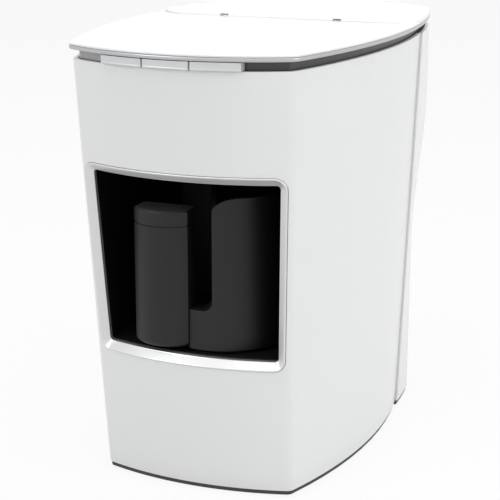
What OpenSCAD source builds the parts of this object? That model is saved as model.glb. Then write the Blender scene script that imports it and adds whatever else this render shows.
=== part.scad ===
// Electric Turkish coffee maker: a tapered housing with an open brewing
// window, a lift-off pot on a hot plate, three keys under the lid's front edge,
// and a lift-out water tank with its own lid at the back. Millimetres, +Z up,
// front towards -Y. The origin is on the ground, under the middle of the lid.

/* [Housing] */
// Width of the lid, the widest part
lid_w = 160; // [150:1:200]
// Depth of the lid, front to back
lid_d = 261; // [250:1:300]
// Height of the shell's top edge above the ground
shell_top = 226.8; // [215:1:280]
// Width of the housing at the ground
foot_w = 138.7; // [130:1:150]
// How far the front leans out from the ground to the top
front_lean = 24.5; // [10:1:32]
// How far the lid stands over the shell at the front and sides
lid_overhang = 2; // [1:0.5:4]
// Wall of the moulded housing
wall = 2.5; // [1.6:0.1:3.2]
// Y of the seam between the front shell and the rear cover
seam_y = 50.5; // [42:0.5:60]
// Width of the open seams between housing parts
seam_gap = 0.5; // [0.2:0.1:1]
// How far the rear cover stands proud of the shell at the seam
cover_step = 1.3; // [0.5:0.1:2]
// How far the tank bulge stands out behind the waist
rear_bulge = 22; // [8:1:26]

/* [Window and chamber] */
// Height of the window frame's lower edge
win_z = 71.6; // [66:0.5:76]
// Height of the window frame
win_h = 102.7; // [96:0.5:110]
// Width of the window frame at its lower edge
win_w = 104.4; // [100:0.5:110]
// How much wider the frame is at its upper edge
win_flare = 7.6; // [0:0.5:10]
// Width of the frame's band
frame_band = 4.5; // [3:0.5:6]
// Outer corner radius of the frame
frame_r = 6.4; // [5.5:0.2:10]
// Depth of the frame behind the shell's face
frame_depth = 6; // [4:0.5:8]
// How far the frame's outer edge stands proud of the shell
frame_proud = 0.6; // [0.2:0.1:1.5]
// How deep the frame's bevelled face runs inwards
frame_dip = 3.4; // [1:0.2:3.8]
// Wall of the chamber liner
liner_wall = 2; // [1.5:0.1:3]
// Y of the chamber's back face
chamber_back = -4; // [-6:0.5:2]

/* [Pot] */
// Radius of the pot
pot_r = 34.3; // [33:0.1:36]
// Height of the pot's rim above the hot plate
pot_h = 81.8; // [72:0.2:82]
// Wall of the pot's body
pot_wall = 2.4; // [1.8:0.1:3]
// Width of the handle
handle_w = 30; // [26:0.2:32]
// Depth of the handle, front to back
handle_d = 18; // [17:0.5:21]
// Height of the handle above the pot's foot
handle_h = 74.8; // [66:0.2:80]

/* [Keys] */
// Width of one key
key_w = 24.2; // [20:0.1:26]
// Gap between neighbouring keys
key_gap = 0.8; // [0.5:0.1:1.5]
// Depth of a key from its front face
key_d = 12; // [10:0.5:16]
// Travel of a key
key_travel = 1.2; // [0.8:0.1:2]

/* [Tank] */
// Half of the tank's width
tank_hw = 56; // [48:0.5:57]
// Y of the tank's front face
tank_front = 26; // [25:0.5:32]
// Y of the tank's rearmost face
tank_rear = 100; // [90:0.5:102]
// Height of the tray's top, where the tank stands
tray_z = 113; // [108:1:135]
// Wall of the tank
tank_wall = 2; // [1.6:0.1:3]
// Radius of the lid's hinge pin
pin_r = 0.7; // [0.5:0.1:0.8]

/* [Fits and fasteners] */
// Clearance round a part that slides or drops in
slide_gap = 0.3; // [0.2:0.05:0.6]
// Running clearance of a shaft in its hole
run_gap = 0.06; // [0.02:0.01:0.1]
// Shank radius of the housing screws
screw_r = 1.5; // [1.2:0.1:1.8]

/* [Hidden] */

$fn = 64;
eps = 0.01;

// ---- plan and side lines of the housing ----
lid_hw = lid_w / 2;
lid_f = -lid_d / 2;
lid_front_R = 118.3;
lid_side_R = 350.5;
lid_rear_R = 82.5;
lid_front_r = 8.4;
lid_rear_r = 14.3;
low_front_R = 168.6;
low_side_R = 285.5;
low_front_r = 4.7;
shell_z0 = 3.4;
shell_f_top = lid_f + lid_overhang;
shell_f_low = shell_f_top + front_lean;
waist_z = 100;
bulge_z = 186;
cover_side_R = 330;
corner_r = 9;
corner_x_low = foot_w / 2 - 5.6;
corner_x_top = lid_hw - 14;
rear_top = lid_d / 2 - 1.5;
rear_low = rear_top - rear_bulge;
rear_sag_top = 31.5;
rear_sag_low = 26;

function lerp(a, b, t) = a + (b - a) * t;
function smooth(t) = t <= 0 ? 0 : t >= 1 ? 1 : t * t * (3 - 2 * t);
function arc(c, r, a0, a1, n) =
    [for (i = [0:n]) c + r * [cos(lerp(a0, a1, i / n)), sin(lerp(a0, a1, i / n))]];
function flip(p) = [for (i = [len(p) - 1:-1:0]) [-p[i][0], p[i][1]]];
function both(p) = concat(p, flip(p));
function angle(v) = atan2(v[1], v[0]);
function at_z(p, z) = [for (q = p) [q[0], q[1], z]];
// Where two circles cross; s picks the side
function cross_at(a, ra, b, rb, s) =
    let (d = norm(b - a), u = (b - a) / d, k = (ra * ra - rb * rb + d * d) / (2 * d),
        h = sqrt(max(ra * ra - k * k, 0)))
    a + u * k + [-u[1], u[0]] * h * s;

// A plan with a bowed front and bowed sides, cut straight across at y = back
function bow_front(hw, yf, Rf, Rs, rf, back, d) =
    let (cf = [0, yf + Rf], cs = [hw - Rs, 0], r = max(rf - d, 0.5),
        f = cross_at(cs, Rs - d - r, cf, Rf - d - r, 1),
        q = f[1] < 0 ? f : cross_at(cs, Rs - d - r, cf, Rf - d - r, -1))
    concat(arc(cf, Rf - d, -90, angle(q - cf), 12),
        arc(q, r, angle(q - cf), angle(q - cs), 5),
        arc(cs, Rs - d, angle(q - cs), asin(back / (Rs - d)), 10));

// Half outline of the shell at height z, moved in by d
function shell_half(z, d, back) =
    let (t = z / shell_top)
    bow_front(lerp(foot_w / 2, lid_hw - lid_overhang, t), lerp(shell_f_low, shell_f_top, t),
        lerp(low_front_R, lid_front_R, t), lerp(low_side_R, lid_side_R, t),
        lerp(low_front_r, lid_front_r, t), back, d);
function shell_side(z) =
    let (t = z / shell_top, R = lerp(low_side_R, lid_side_R, t),
        hw = lerp(foot_w / 2, lid_hw - lid_overhang, t))
    hw - R + sqrt(R * R - seam_y * seam_y);

// Half outline of the rear cover at height z, moved in by d, from y = front
function cover_half(z, d, front) =
    let (s = smooth((z - waist_z) / (bulge_z - waist_z)),
        a = [shell_side(z) + cover_step, seam_y],
        yr = lerp(rear_low, rear_top, s), sag = lerp(rear_sag_low, rear_sag_top, s),
        b = [lerp(corner_x_low, corner_x_top, s), yr - sag],
        cs = cross_at(a, cover_side_R, b, cover_side_R, 1),
        R = (b[0] * b[0] + sag * sag) / (2 * sag), cr = [0, yr - R],
        q1 = cross_at(cs, cover_side_R - corner_r, cr, R - corner_r, 1),
        q = q1[1] > seam_y ? q1 : cross_at(cs, cover_side_R - corner_r, cr, R - corner_r, -1),
        a0 = asin((front - cs[1]) / (cover_side_R - d)))
    concat(arc(cs, cover_side_R - d, a0, angle(q - cs), 6),
        arc(q, corner_r - d, angle(q - cs), angle(q - cr), 5),
        arc(cr, R - d, angle(q - cr), 90, 9));

// Half outline of the lid, moved in by d
function lid_half(d) =
    let (cf = [0, lid_f + lid_front_R], cs = [lid_hw - lid_side_R, 0],
        cr = [0, -lid_f - lid_rear_R], rf = lid_front_r, rr = lid_rear_r,
        f1 = cross_at(cs, lid_side_R - rf, cf, lid_front_R - rf, 1),
        f = f1[1] < 0 ? f1 : cross_at(cs, lid_side_R - rf, cf, lid_front_R - rf, -1),
        g1 = cross_at(cs, lid_side_R - rr, cr, lid_rear_R - rr, 1),
        g = g1[1] > 0 ? g1 : cross_at(cs, lid_side_R - rr, cr, lid_rear_R - rr, -1))
    concat(arc(cf, lid_front_R - d, -90, angle(f - cf), 12),
        arc(f, rf - d, angle(f - cf), angle(f - cs), 5),
        arc(cs, lid_side_R - d, angle(f - cs), angle(g - cs), 16),
        arc(g, rr - d, angle(g - cs), angle(g - cr), 5),
        arc(cr, lid_rear_R - d, angle(g - cr), 90, 10));
// Half outline of the whole housing at the ground, moved in by d
function ground_half(d) =
    concat(shell_half(shell_z0, d, seam_y + 0.1),
        cover_half(shell_z0, d, seam_y + seam_gap - 0.1));

// A solid through rings of equal length, each counter-clockwise seen from above
module loft(rings) {
    n = len(rings[0]);
    m = len(rings);
    sides = [for (j = [0:m - 2], i = [0:n - 1])
        let (a = j * n + i, b = j * n + (i + 1) % n, c = a + n, e = b + n)
        each [[a, c, e], [a, e, b]]];
    caps = [[for (i = [0:n - 1]) i], [for (i = [n - 1:-1:0]) (m - 1) * n + i]];
    polyhedron([for (r = rings) each r], concat(sides, caps), convexity = 8);
}
module shell_loft(d, z0, z1) {
    steps = 6;
    loft([for (i = [0:steps])
        let (z = lerp(z0, z1, i / steps)) at_z(both(shell_half(z, d, seam_y + 12)), z)]);
}
module cover_loft(d, z0, z1) {
    steps = 10;
    zs = concat([z0], [for (i = [0:steps]) lerp(waist_z, bulge_z, i / steps)], [z1]);
    loft([for (z = zs) at_z(both(cover_half(z, d, seam_y - 12)), z)]);
}
// Everything in front of, or behind, a plane across the part
module ahead_of(y) translate([-200, y - 400, -50]) cube([400, 400, 500]);
module behind(y) translate([-200, y, -50]) cube([400, 400, 500]);
module along_y(y0, y1) translate([0, y1, 0]) rotate([90, 0, 0])
    linear_extrude(y1 - y0) children();
module along_x(x0, x1) translate([x0, 0, 0]) rotate([90, 0, 90])
    linear_extrude(x1 - x0) children();
module slab(p, z0, z1) translate([0, 0, z0]) linear_extrude(z1 - z0) polygon(p);
module mirrored() {
    children();
    mirror([1, 0, 0]) children();
}

// ---- window ----
win_lean = atan(win_flare / 2 / win_h);
function win_half(d) =
    let (r = frame_r - d > 1 ? frame_r - d : 1, t = tan(win_lean),
        side = function(z) win_w / 2 + (z - win_z) * t - (d + r) / cos(win_lean),
        zb = win_z + d + r, zt = win_z + win_h - d - r)
    concat(arc([side(zb), zb], r, -90, -win_lean, 6),
        arc([side(zt), zt], r, -win_lean, 90, 6));
module window(d, y0, y1) along_y(y0, y1) polygon(both(win_half(d)));
// Y of the shell's front face at a place on it
function front_y(x, z) =
    let (t = z / shell_top, R = lerp(low_front_R, lid_front_R, t))
    lerp(shell_f_low, shell_f_top, t) + R - sqrt(R * R - x * x);
// The frame's section, as [distance in from its outer edge, depth behind the shell's face]
frame_lip = 0.7;
frame_section = [[0, frame_depth], [0, 0.2], [0.25, -frame_proud + 0.15],
    [frame_lip, -frame_proud], [frame_band - 0.3, frame_dip], [frame_band, frame_dip + 0.3],
    [frame_band, frame_depth]];
floor_z = win_z + frame_band + 0.5;
ceiling_z = win_z + win_h - frame_band;
plate_z = floor_z + 0.9;
plate_y = -60;
plate_r = 34;
seal_w = 2.5;
boss_x = 40.5;

// ---- pot, in its own frame: the foot's centre is the origin ----
pot_at = [6.4, -70.5];
foot_z0 = 0.6;
pot_floor = 4;
pot_gap = 0.1;
liner_t = 0.8;
base_inset = 7.5;
base_disc_t = 1.2;
// The pot is cut flat beside the handle, on a plane turned a little from the side
slot_turn = 24;
slot_wall = -8.1;
slot_r = 5;
web_h = 22;
rim_drop = 8;
rim_run = 16;
cup_corner = 5;
// The coffee's space seen from above, moved in by d, in the frame turned with the slot
function cup_plan(d) =
    let (f = slot_wall + pot_wall + d, q = cup_corner - d, R = pot_r - pot_wall - d,
        y = sqrt((R - q) * (R - q) - (f + q) * (f + q)), a = atan2(y, f + q))
    concat(arc([f + q, -y], q, -180, -a, 6), arc([0, 0], R, -a, a, 44),
        arc([f + q, y], q, a, 180, 6));
module cup(d, z0, z1) rotate([0, 0, slot_turn]) slab(cup_plan(d), z0, z1);
// Room for the fingers: down to a web beside the handle, with the rim rounded down to it
module slot_cut() rotate([0, 0, slot_turn]) along_y(-60, 60) polygon(concat([[-60, web_h]],
    arc([slot_wall - slot_r, web_h + slot_r], slot_r, -90, 0, 8),
    [for (p = arc([0, 0], 1, 180, 90, 12))
        [slot_wall + rim_run * (1 + p[0]), pot_h + 0.15 + rim_drop * (p[1] - 1)]],
    [[slot_wall + rim_run, pot_h + 1], [-60, pot_h + 1]]));
module at_pot() translate([pot_at[0], pot_at[1], plate_z]) children();
handle_x = -22;
handle_y = -41;
handle_R = 20;
handle_corner = 3;
handle_seam = 8;
handle_z0 = 1.5;
handle_screw_z = [14, 60];
handle_web = 3;
groove_low = 9;
// Half outline of the handle, moved in by d, from the middle of its bowed front
function handle_half(d) =
    let (e = handle_corner)
    concat(arc([0, handle_R], handle_R - d, -90, asin((handle_w / 2 - d) / (handle_R - d)) - 90, 10),
        arc([handle_w / 2 - e, handle_d - e], e - d, 0, 90, 5));
module handle_plan(d) translate([handle_x, handle_y]) polygon(both(handle_half(d)));
// The handle between two depths behind its front
module handle_part(y0, y1, z0, z1, d) translate([0, 0, z0]) linear_extrude(z1 - z0) intersection() {
    handle_plan(d);
    translate([handle_x - 40, handle_y + y0]) square([80, y1 - y0]);
}
module handle_pocket() handle_part(-5, handle_d + 5, -1, handle_h + 5, -pot_gap);

// ---- lid stack ----
key_z0 = shell_top + 0.2;
band_z = shell_top + 4.6;
panel_z = band_z + 2.3;
lid_top = panel_z + 2.9;
split_y = 20;
split_gap = 1;
split_r = 20;
deck_t = 2.5;
hinge_y = split_y + split_gap + 1.6;
hinge_z = panel_z + 0.9;
ear_r = 1.15;
ear_x = 34;
ear_t = 4;
key_span = 3 * key_w + 2 * key_gap;
panel_screw_xy = [for (s = [-1, 1], y = [-88, -20]) [s * 50, y]];
board_y = lid_f + 18;
// Plan of the rear lid's region, with rounded front corners
module rear_region(y) {
    x = lid_hw - 2;
    p = concat([[x + 40, 200]], [[x + 40, y + split_r]],
        [for (q = arc([x - split_r, y + split_r], split_r, 0, -90, 8)) q]);
    polygon(concat(p, flip(p)));
}
module lid_plan(d) polygon(both(lid_half(d)));
module rear_plan(d, y) intersection() {
    lid_plan(d);
    rear_region(y);
}
module front_plan(d, y) difference() {
    lid_plan(d);
    rear_region(y);
}

// ---- tank and what it stands on ----
tank_R = 80;
tank_cr = 8;
chassis_y = 10;
chassis_t = 3;
post_r = 5;
post_x = 44;
post_y0 = 30;
post_y1 = 76;
tray_t = 3;
dock_x = 24;
dock_y = 58;
function tank_half(d) =
    let (cr = [0, tank_rear - tank_R], r = tank_cr,
        q = [tank_hw - r, cr[1] + sqrt(pow(tank_R - r, 2) - pow(tank_hw - r, 2))])
    concat([[0, tank_front + d]],
        arc([tank_hw - r, tank_front + r], r - d, -90, 0, 5),
        arc(q, r - d, 0, angle(q - cr), 4),
        arc(cr, tank_R - d, angle(q - cr), 90, 9));
module tank_plan(d) polygon(both(tank_half(d)));

// ---- screws ----
module screw(r, l, head_r, head_h) {
    translate([0, 0, -l]) cylinder(r = r, h = l);
    difference() {
        cylinder(r = head_r, h = head_h);
        for (a = [0, 90]) translate([0, 0, head_h]) rotate([0, 0, a])
            cube([head_r * 1.2, 0.8, 1.2], center = true);
    }
}
foot_y0 = -68;
foot_y1 = 58;
foot_x = 46;
foot_r = 8;
base_z = 1.2;
base_t = 2;
base_screw_xy = [[51.5, -84], [post_x, post_y0], [post_x, post_y1]];
cover_screw_z = [30, 84];
screw_head = 3;

// ======== housing ========
boss_r = 4.2;
module shell_boss(x, y) translate([x, y, shell_z0]) difference() {
    cylinder(r = boss_r, h = 36);
    translate([0, 0, -eps]) cylinder(r = screw_r - 0.25, h = 16);
}
module front_shell() color("white") {
    difference() {
        intersection() {
            shell_loft(0, shell_z0, shell_top);
            ahead_of(seam_y);
        }
        shell_loft(wall, shell_z0 - 1, shell_top + 1);
        window(-0.2, lid_f - 20, -70);
    }
    mirrored() intersection() {
        shell_boss(base_screw_xy[0][0], base_screw_xy[0][1]);
        shell_loft(wall / 2, shell_z0 - 1, shell_top + 1);
    }
}
gland_z = 24;
gland_r = 6;
vent_n = 9;
module rear_cover() color("white") difference() {
    union() {
        intersection() {
            difference() {
                cover_loft(0, shell_z0, shell_top);
                cover_loft(wall, shell_z0 - 1, shell_top + 1);
            }
            behind(seam_y + seam_gap);
        }
        mirrored() for (z = cover_screw_z) intersection() {
            translate([post_x, post_y1 + post_r + slide_gap, z]) rotate([-90, 0, 0])
                cylinder(r = boss_r, h = 20);
            cover_loft(wall / 2, shell_z0, shell_top);
        }
    }
    mirrored() for (z = cover_screw_z) translate([post_x, 0, z]) rotate([-90, 0, 0])
        cylinder(r = screw_r + 0.2, h = 140);
    mirrored() for (z = cover_screw_z)
        translate([post_x, post_y1 + post_r + 8, z]) rotate([-90, 0, 0])
        cylinder(r = screw_head + 0.4, h = 40);
    translate([0, 80, gland_z]) rotate([-90, 0, 0]) cylinder(r = gland_r, h = 50);
    for (i = [0:vent_n - 1]) translate([-24, 80, 50 + i * 4.5]) cube([48, 50, 2]);
}
module base_plate() color([0.16, 0.16, 0.17]) difference() {
    union() {
        slab(both(ground_half(0.8)), base_z, base_z + base_t);
        difference() {
            slab(both(ground_half(wall + slide_gap)), base_z + base_t, 8);
            slab(both(ground_half(wall + slide_gap + 2)), base_z, 9);
            for (p = base_screw_xy, s = [-1, 1]) translate([s * p[0], p[1], 0])
                cylinder(r = 5.6, h = 20);
        }
    }
    for (p = base_screw_xy, s = [-1, 1]) translate([s * p[0], p[1], 0]) {
        translate([0, 0, -1]) cylinder(r = screw_r + 0.3, h = 8);
        translate([0, 0, -1]) cylinder(r = screw_head + 0.4, h = 1 + base_z + 0.7);
    }
    for (x = [-30:7.5:30], y = [20, 52]) translate([x - 1.5, y, 0]) cube([3, 26, 5]);
    for (s = [-1, 1], y = [foot_y0, foot_y1]) translate([s * foot_x, y, 0])
        cylinder(r = foot_r, h = base_z + 1);
}
module rubber_feet() color([0.1, 0.1, 0.1])
    for (s = [-1, 1], y = [foot_y0, foot_y1]) translate([s * foot_x, y, 0])
        cylinder(r = foot_r, h = base_z + 1);
module base_screws() color("silver")
    for (p = base_screw_xy, s = [-1, 1]) translate([s * p[0], p[1], base_z + 0.7])
        mirror([0, 0, 1]) screw(screw_r - 0.25, 13, screw_head, 0.6);
module cover_screws() color("silver")
    for (z = cover_screw_z, s = [-1, 1])
        translate([s * post_x, post_y1 + post_r + 8, z]) rotate([-90, 0, 0])
        screw(screw_r - 0.25, 14, screw_head, 2);
module cord_gland() color([0.1, 0.1, 0.1]) translate([0, rear_low, gland_z])
    rotate([-90, 0, 0]) difference() {
        union() {
            cylinder(r1 = 8.5, r2 = 7, h = 4);
            translate([0, 0, -9]) cylinder(r = gland_r - 0.1, h = 9 + eps);
        }
        translate([0, 0, -10]) cylinder(r = 3.3, h = 20);
    }
module gland_nut() color([0.12, 0.12, 0.12])
    translate([0, rear_low - wall - 3.8, gland_z]) rotate([-90, 0, 0]) difference() {
        cylinder(r = 9, h = 3, $fn = 6);
        translate([0, 0, -1]) cylinder(r = gland_r - 0.1, h = 6);
    }

// ======== window, chamber and hot plate ========
// The outline is filled in along its straight stretches, so that it follows the bowed front
function fill_counts(p, step) = [for (i = [0:len(p) - 1])
    max(1, ceil(norm(p[(i + 1) % len(p)] - p[i]) / step))];
function fill_by(p, counts) = [for (i = [0:len(p) - 1])
    each [for (k = [0:counts[i] - 1]) lerp(p[i], p[(i + 1) % len(p)], k / counts[i])]];
module window_frame() color([0.8, 0.81, 0.83]) {
    turns = [for (q = frame_section) both(win_half(q[0]))];
    counts = fill_counts(turns[0], 6);
    rings = [for (j = [0:len(turns) - 1]) fill_by(turns[j], counts)];
    n = len(rings[0]);
    m = len(rings);
    points = [for (i = [0:n - 1], j = [0:m - 1])
        let (q = rings[j][i]) [q[0], front_y(q[0], q[1]) + frame_section[j][1], q[1]]];
    faces = [for (i = [0:n - 1], j = [0:m - 1])
        let (a = i * m + j, b = i * m + (j + 1) % m,
            c = ((i + 1) % n) * m + j, e = ((i + 1) % n) * m + (j + 1) % m)
        each [[a, c, e], [a, e, b]]];
    polyhedron(points, faces, convexity = 8);
}
spout_x = 10;
spout_y = -46;
spout_r = 4;
lens_x = -14;
lens_y = -46;
lens_r = 5;
column_x = -11;
column_w = 8;
module chamber_liner() color([0.03, 0.03, 0.03]) difference() {
    union() {
        intersection() {
            difference() {
                window(frame_band - liner_wall, lid_f - 20, chamber_back + liner_wall);
                difference() {
                    window(frame_band, lid_f - 21, chamber_back);
                    translate([-80, -200, 0]) cube([160, 220, floor_z]);
                }
            }
            shell_loft(frame_depth + 0.1, win_z - 9, win_z + win_h + 9);
        }
        mirrored() translate([boss_x, plate_y, floor_z - 13]) cylinder(r = 3.5, h = 12);
    }
    translate([0, plate_y, floor_z - 20]) cylinder(r = plate_r + seal_w, h = 30);
    mirrored() translate([boss_x, plate_y, floor_z - 14]) cylinder(r = 1.2, h = 10);
    translate([spout_x, spout_y, ceiling_z - 3]) cylinder(r = spout_r, h = 8);
    translate([lens_x, lens_y, ceiling_z - 3]) cylinder(r = lens_r, h = 8);
    translate([column_x - 2, chamber_back - 1, ceiling_z - 30]) cube([4, 6, 20]);
}
module heating_plate() color([0.25, 0.25, 0.26]) translate([0, plate_y, 0]) {
    translate([0, 0, plate_z - 4]) cylinder(r = plate_r, h = 4);
}
module plate_seal() color([0.45, 0.12, 0.1]) translate([0, plate_y, floor_z - 2])
    difference() {
        cylinder(r = plate_r + seal_w, h = 2.4);
        translate([0, 0, -1]) cylinder(r = plate_r, h = 5);
    }
element_r = 23;
element_t = 3.3;
module heating_element() color([0.5, 0.5, 0.5]) translate([0, plate_y, plate_z - 4 - element_t]) {
    rotate([0, 0, 110]) rotate_extrude(angle = 320) translate([element_r, 0]) circle(r = element_t);
    for (a = [115, 65]) rotate([0, 0, a]) translate([element_r, 0, -14])
        cylinder(r = 1.6, h = 14);
}
thermo_h = 7.6;
module thermostat() color([0.75, 0.7, 0.6])
    translate([0, plate_y, plate_z - 4 - thermo_h]) {
        cylinder(r = 8, h = thermo_h);
        mirrored() translate([8 - eps, -2.5, 1]) cube([7, 5, 0.8]);
    }
clamp_z = plate_z - 4 - thermo_h;
boss_low = floor_z - 13;
module plate_clamp() color("silver") difference() {
    union() {
        translate([-boss_x - 5, plate_y - 5, boss_low - 1.5]) cube([2 * boss_x + 10, 10, 1.5]);
        translate([0, plate_y, boss_low - eps]) cylinder(r = 5, h = clamp_z - boss_low + eps);
    }
    mirrored() translate([boss_x, plate_y, boss_low - 3]) cylinder(r = 1.5, h = 6);
}
module clamp_screws() color("silver") mirrored()
    translate([boss_x, plate_y, boss_low - 1.5]) mirror([0, 0, 1]) screw(1.2, 8, 2.6, 1.6);
module water_spout() color([0.42, 0.42, 0.43]) translate([spout_x, spout_y, 0]) difference() {
    union() {
        translate([0, 0, ceiling_z - 8.5]) cylinder(r = spout_r, h = 20.5);
        translate([0, 0, ceiling_z + liner_wall]) cylinder(r = spout_r + 3, h = 2);
    }
    translate([0, 0, ceiling_z - 9.5]) cylinder(r = 1.8, h = 26.5);
}
module sensor_column() color([0.45, 0.45, 0.46])
    translate([column_x - column_w / 2, chamber_back - 7, ceiling_z - 50])
        cube([column_w, 7, 50 - slide_gap]);
module sensor_lens() color([0.2, 0.05, 0.05]) translate([lens_x, lens_y, ceiling_z - 1.5]) {
    cylinder(r = lens_r, h = liner_wall + 3);
    translate([0, 0, liner_wall + 1.5]) cylinder(r = lens_r + 2, h = 1.5);
}
sensor_z = ceiling_z + liner_wall + 8;
module sensor_board() color([0.05, 0.3, 0.12]) {
    translate([lens_x - 12, lens_y - 10, sensor_z]) cube([20, 30, 1.4]);
    translate([lens_x, lens_y, sensor_z - 4.5]) cylinder(r = 2.4, h = 4.5);
    for (s = [-1, 1]) translate([lens_x + s * 7 - 1, lens_y + 14, sensor_z - 8])
        cube([2, 2, 8]);
}

// ======== inner frame, deck and keys ========
hose_hole = [-44, 62];
module chassis() color([0.35, 0.36, 0.38]) difference() {
    union() {
        translate([-58, chassis_y, base_z + base_t]) cube([116, chassis_t, shell_top - deck_t
            - base_z - base_t]);
        difference() {
            intersection() {
                translate([0, 0, tray_z - tray_t]) linear_extrude(tray_t + 5)
                    union() {
                        tank_plan(-3);
                        translate([-tank_hw - 3, chassis_y]) square([2 * tank_hw + 6, 40]);
                    }
                behind(chassis_y);
            }
            translate([0, 0, tray_z]) linear_extrude(20) tank_plan(-slide_gap);
        }
        mirrored() for (y = [post_y0, post_y1]) translate([post_x, y, base_z + base_t])
            cylinder(r = post_r, h = tray_z - tray_t - base_z - base_t + eps);
        mirrored() translate([post_x - 1.5, chassis_y, tray_z - 40])
            cube([3, post_y0 - chassis_y, 38]);
    }
    for (p = [post_y0, post_y1], s = [-1, 1]) translate([s * post_x, p, 0])
        cylinder(r = screw_r - 0.25, h = 20);
    for (z = cover_screw_z, s = [-1, 1]) translate([s * post_x, post_y1 - 2, z])
        rotate([-90, 0, 0]) cylinder(r = screw_r - 0.25, h = 10);
    translate([hose_hole[0], chassis_y - 5, hose_hole[1]]) rotate([-90, 0, 0])
        cylinder(r = 6, h = 15);
    translate([dock_x, dock_y, tray_z - 10]) cylinder(r = 9, h = 20);
    translate([-ribbon_w, chassis_y - 1, ribbon_low - 4]) cube([2 * ribbon_w, chassis_t + 2, 8]);
}
deck_in = wall + slide_gap;
band_in = 3.2;
band_t = 1.6;
module top_deck() color([0.14, 0.14, 0.15]) difference() {
    translate([0, 0, shell_top - deck_t]) linear_extrude(deck_t)
        polygon(both(concat(shell_half(shell_top - deck_t, deck_in, seam_y + 0.1),
            cover_half(shell_top, deck_in, seam_y + seam_gap - 0.1))));
    translate([0, 0, shell_top - 10]) linear_extrude(20) tank_plan(-0.8);
    for (p = panel_screw_xy) translate([p[0], p[1], shell_top - 10])
        cylinder(r = screw_r + 0.2, h = 20);
    ribbon_slot();
}
module trim_band() color([0.2, 0.2, 0.21]) difference() {
    translate([0, 0, shell_top + eps]) linear_extrude(band_z - shell_top - slide_gap)
        difference() {
            lid_plan(lid_overhang + band_in);
            lid_plan(lid_overhang + band_in + band_t);
        }
    translate([-key_span / 2 - 0.5, lid_f - 5, shell_top - 1])
        cube([key_span + 1, 30, 10]);
}
spacer_r = 3.4;
module panel_band() color([0.66, 0.67, 0.69]) difference() {
    union() {
        translate([0, 0, band_z]) linear_extrude(panel_z - band_z) front_plan(0, split_y);
        for (p = panel_screw_xy) translate([p[0], p[1], shell_top])
            cylinder(r = spacer_r, h = band_z - shell_top + eps);
    }
    for (p = panel_screw_xy) translate([p[0], p[1], shell_top - 1])
        cylinder(r = screw_r - 0.25, h = 6.2);
}
module top_panel() color("white") {
    translate([0, 0, panel_z]) linear_extrude(0.8) front_plan(0.2, split_y);
    translate([0, 0, panel_z + 0.8 - eps]) linear_extrude(0.7 + eps) front_plan(0.9, split_y - 0.6);
}
module panel_screws() color("silver") for (p = panel_screw_xy)
    translate([p[0], p[1], shell_top - deck_t]) mirror([0, 0, 1])
        screw(screw_r - 0.25, 7, screw_head, 1.8);

module key(i) color([0.85, 0.86, 0.87]) {
    x0 = -key_span / 2 + i * (key_w + key_gap);
    c = [0, lid_f + lid_front_R];
    h = band_z - 0.2 - key_z0;
    translate([0, 0, key_z0]) linear_extrude(h) intersection() {
        translate(c) circle(r = lid_front_R, $fn = 200);
        translate([x0, lid_f - 5]) square([key_w, 5 + key_d]);
    }
    translate([x0 + key_w / 2 - 2, lid_f + key_d - eps, key_z0 + 1.2])
        cube([4, 3, h - 2.4]);
}
module key_left() key(0);
module key_middle() key(1);
module key_right() key(2);
switch_y = lid_f + key_d + 3 + key_travel + 0.15;
module tact_switches() color([0.1, 0.1, 0.1]) for (i = [0:2])
    translate([-key_span / 2 + i * (key_w + key_gap) + key_w / 2, switch_y, 0]) {
        translate([-3, 1.2, shell_top + 1.2]) cube([6, 3.4, 3.2]);
        translate([-1, 0, shell_top + 2]) cube([2, 1.3, 1.6]);
    }
module control_board() color([0.05, 0.3, 0.12]) difference() {
    translate([-42, switch_y + 0.6, shell_top]) cube([84, 30, 1.2]);
    ribbon_slot();
}
ribbon_w = 10;
ribbon_t = 1;
ribbon_high = 200;
ribbon_low = 96;
ribbon_y0 = board_y + 23;
// The slot that the ribbon comes up through, 1 mm clear all round
module ribbon_slot() translate([-ribbon_w / 2 - 1, ribbon_y0 - 1, shell_top - 10])
    cube([ribbon_w + 2, ribbon_t + 2, 20]);
ribbon_y1 = chassis_y - 3;
module ribbon_run(y, z, dy, dz) translate([-ribbon_w / 2, y, z]) cube([ribbon_w, dy, dz]);
module ribbon_cable() color([0.55, 0.55, 0.58]) {
    ribbon_run(ribbon_y0, ribbon_high, ribbon_t, shell_top - ribbon_high + 2);
    ribbon_run(ribbon_y0, ribbon_high, ribbon_y1 - ribbon_y0, ribbon_t);
    ribbon_run(ribbon_y1 - ribbon_t, ribbon_low, ribbon_t, ribbon_high - ribbon_low + ribbon_t);
    ribbon_run(ribbon_y1 - ribbon_t, ribbon_low, chassis_t + 3 + 3 + ribbon_t, ribbon_t);
}

// ======== water path ========
pump_y = 52;
pump_z = 40;
pump_tube_r = 7;
module pump_coil() color([0.12, 0.12, 0.13]) difference() {
    translate([-22, pump_y - 16, pump_z - 16]) cube([44, 32, 32]);
    translate([-30, pump_y, pump_z]) rotate([0, 90, 0]) cylinder(r = pump_tube_r, h = 60);
}
module pump_tube() color([0.8, 0.78, 0.7]) translate([0, pump_y, pump_z]) rotate([0, 90, 0])
    difference() {
        union() {
            translate([0, 0, -36]) cylinder(r = pump_tube_r, h = 72);
            translate([0, 0, -46]) cylinder(r = 3, h = 92);
        }
        translate([0, 0, -47]) cylinder(r = 1.6, h = 94);
    }
module pump_cradle() color([0.08, 0.08, 0.08]) for (x = [-16, 8])
    translate([x, pump_y - 12, base_z + base_t]) cube([8, 24, pump_z - 16 - base_z - base_t]);
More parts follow.
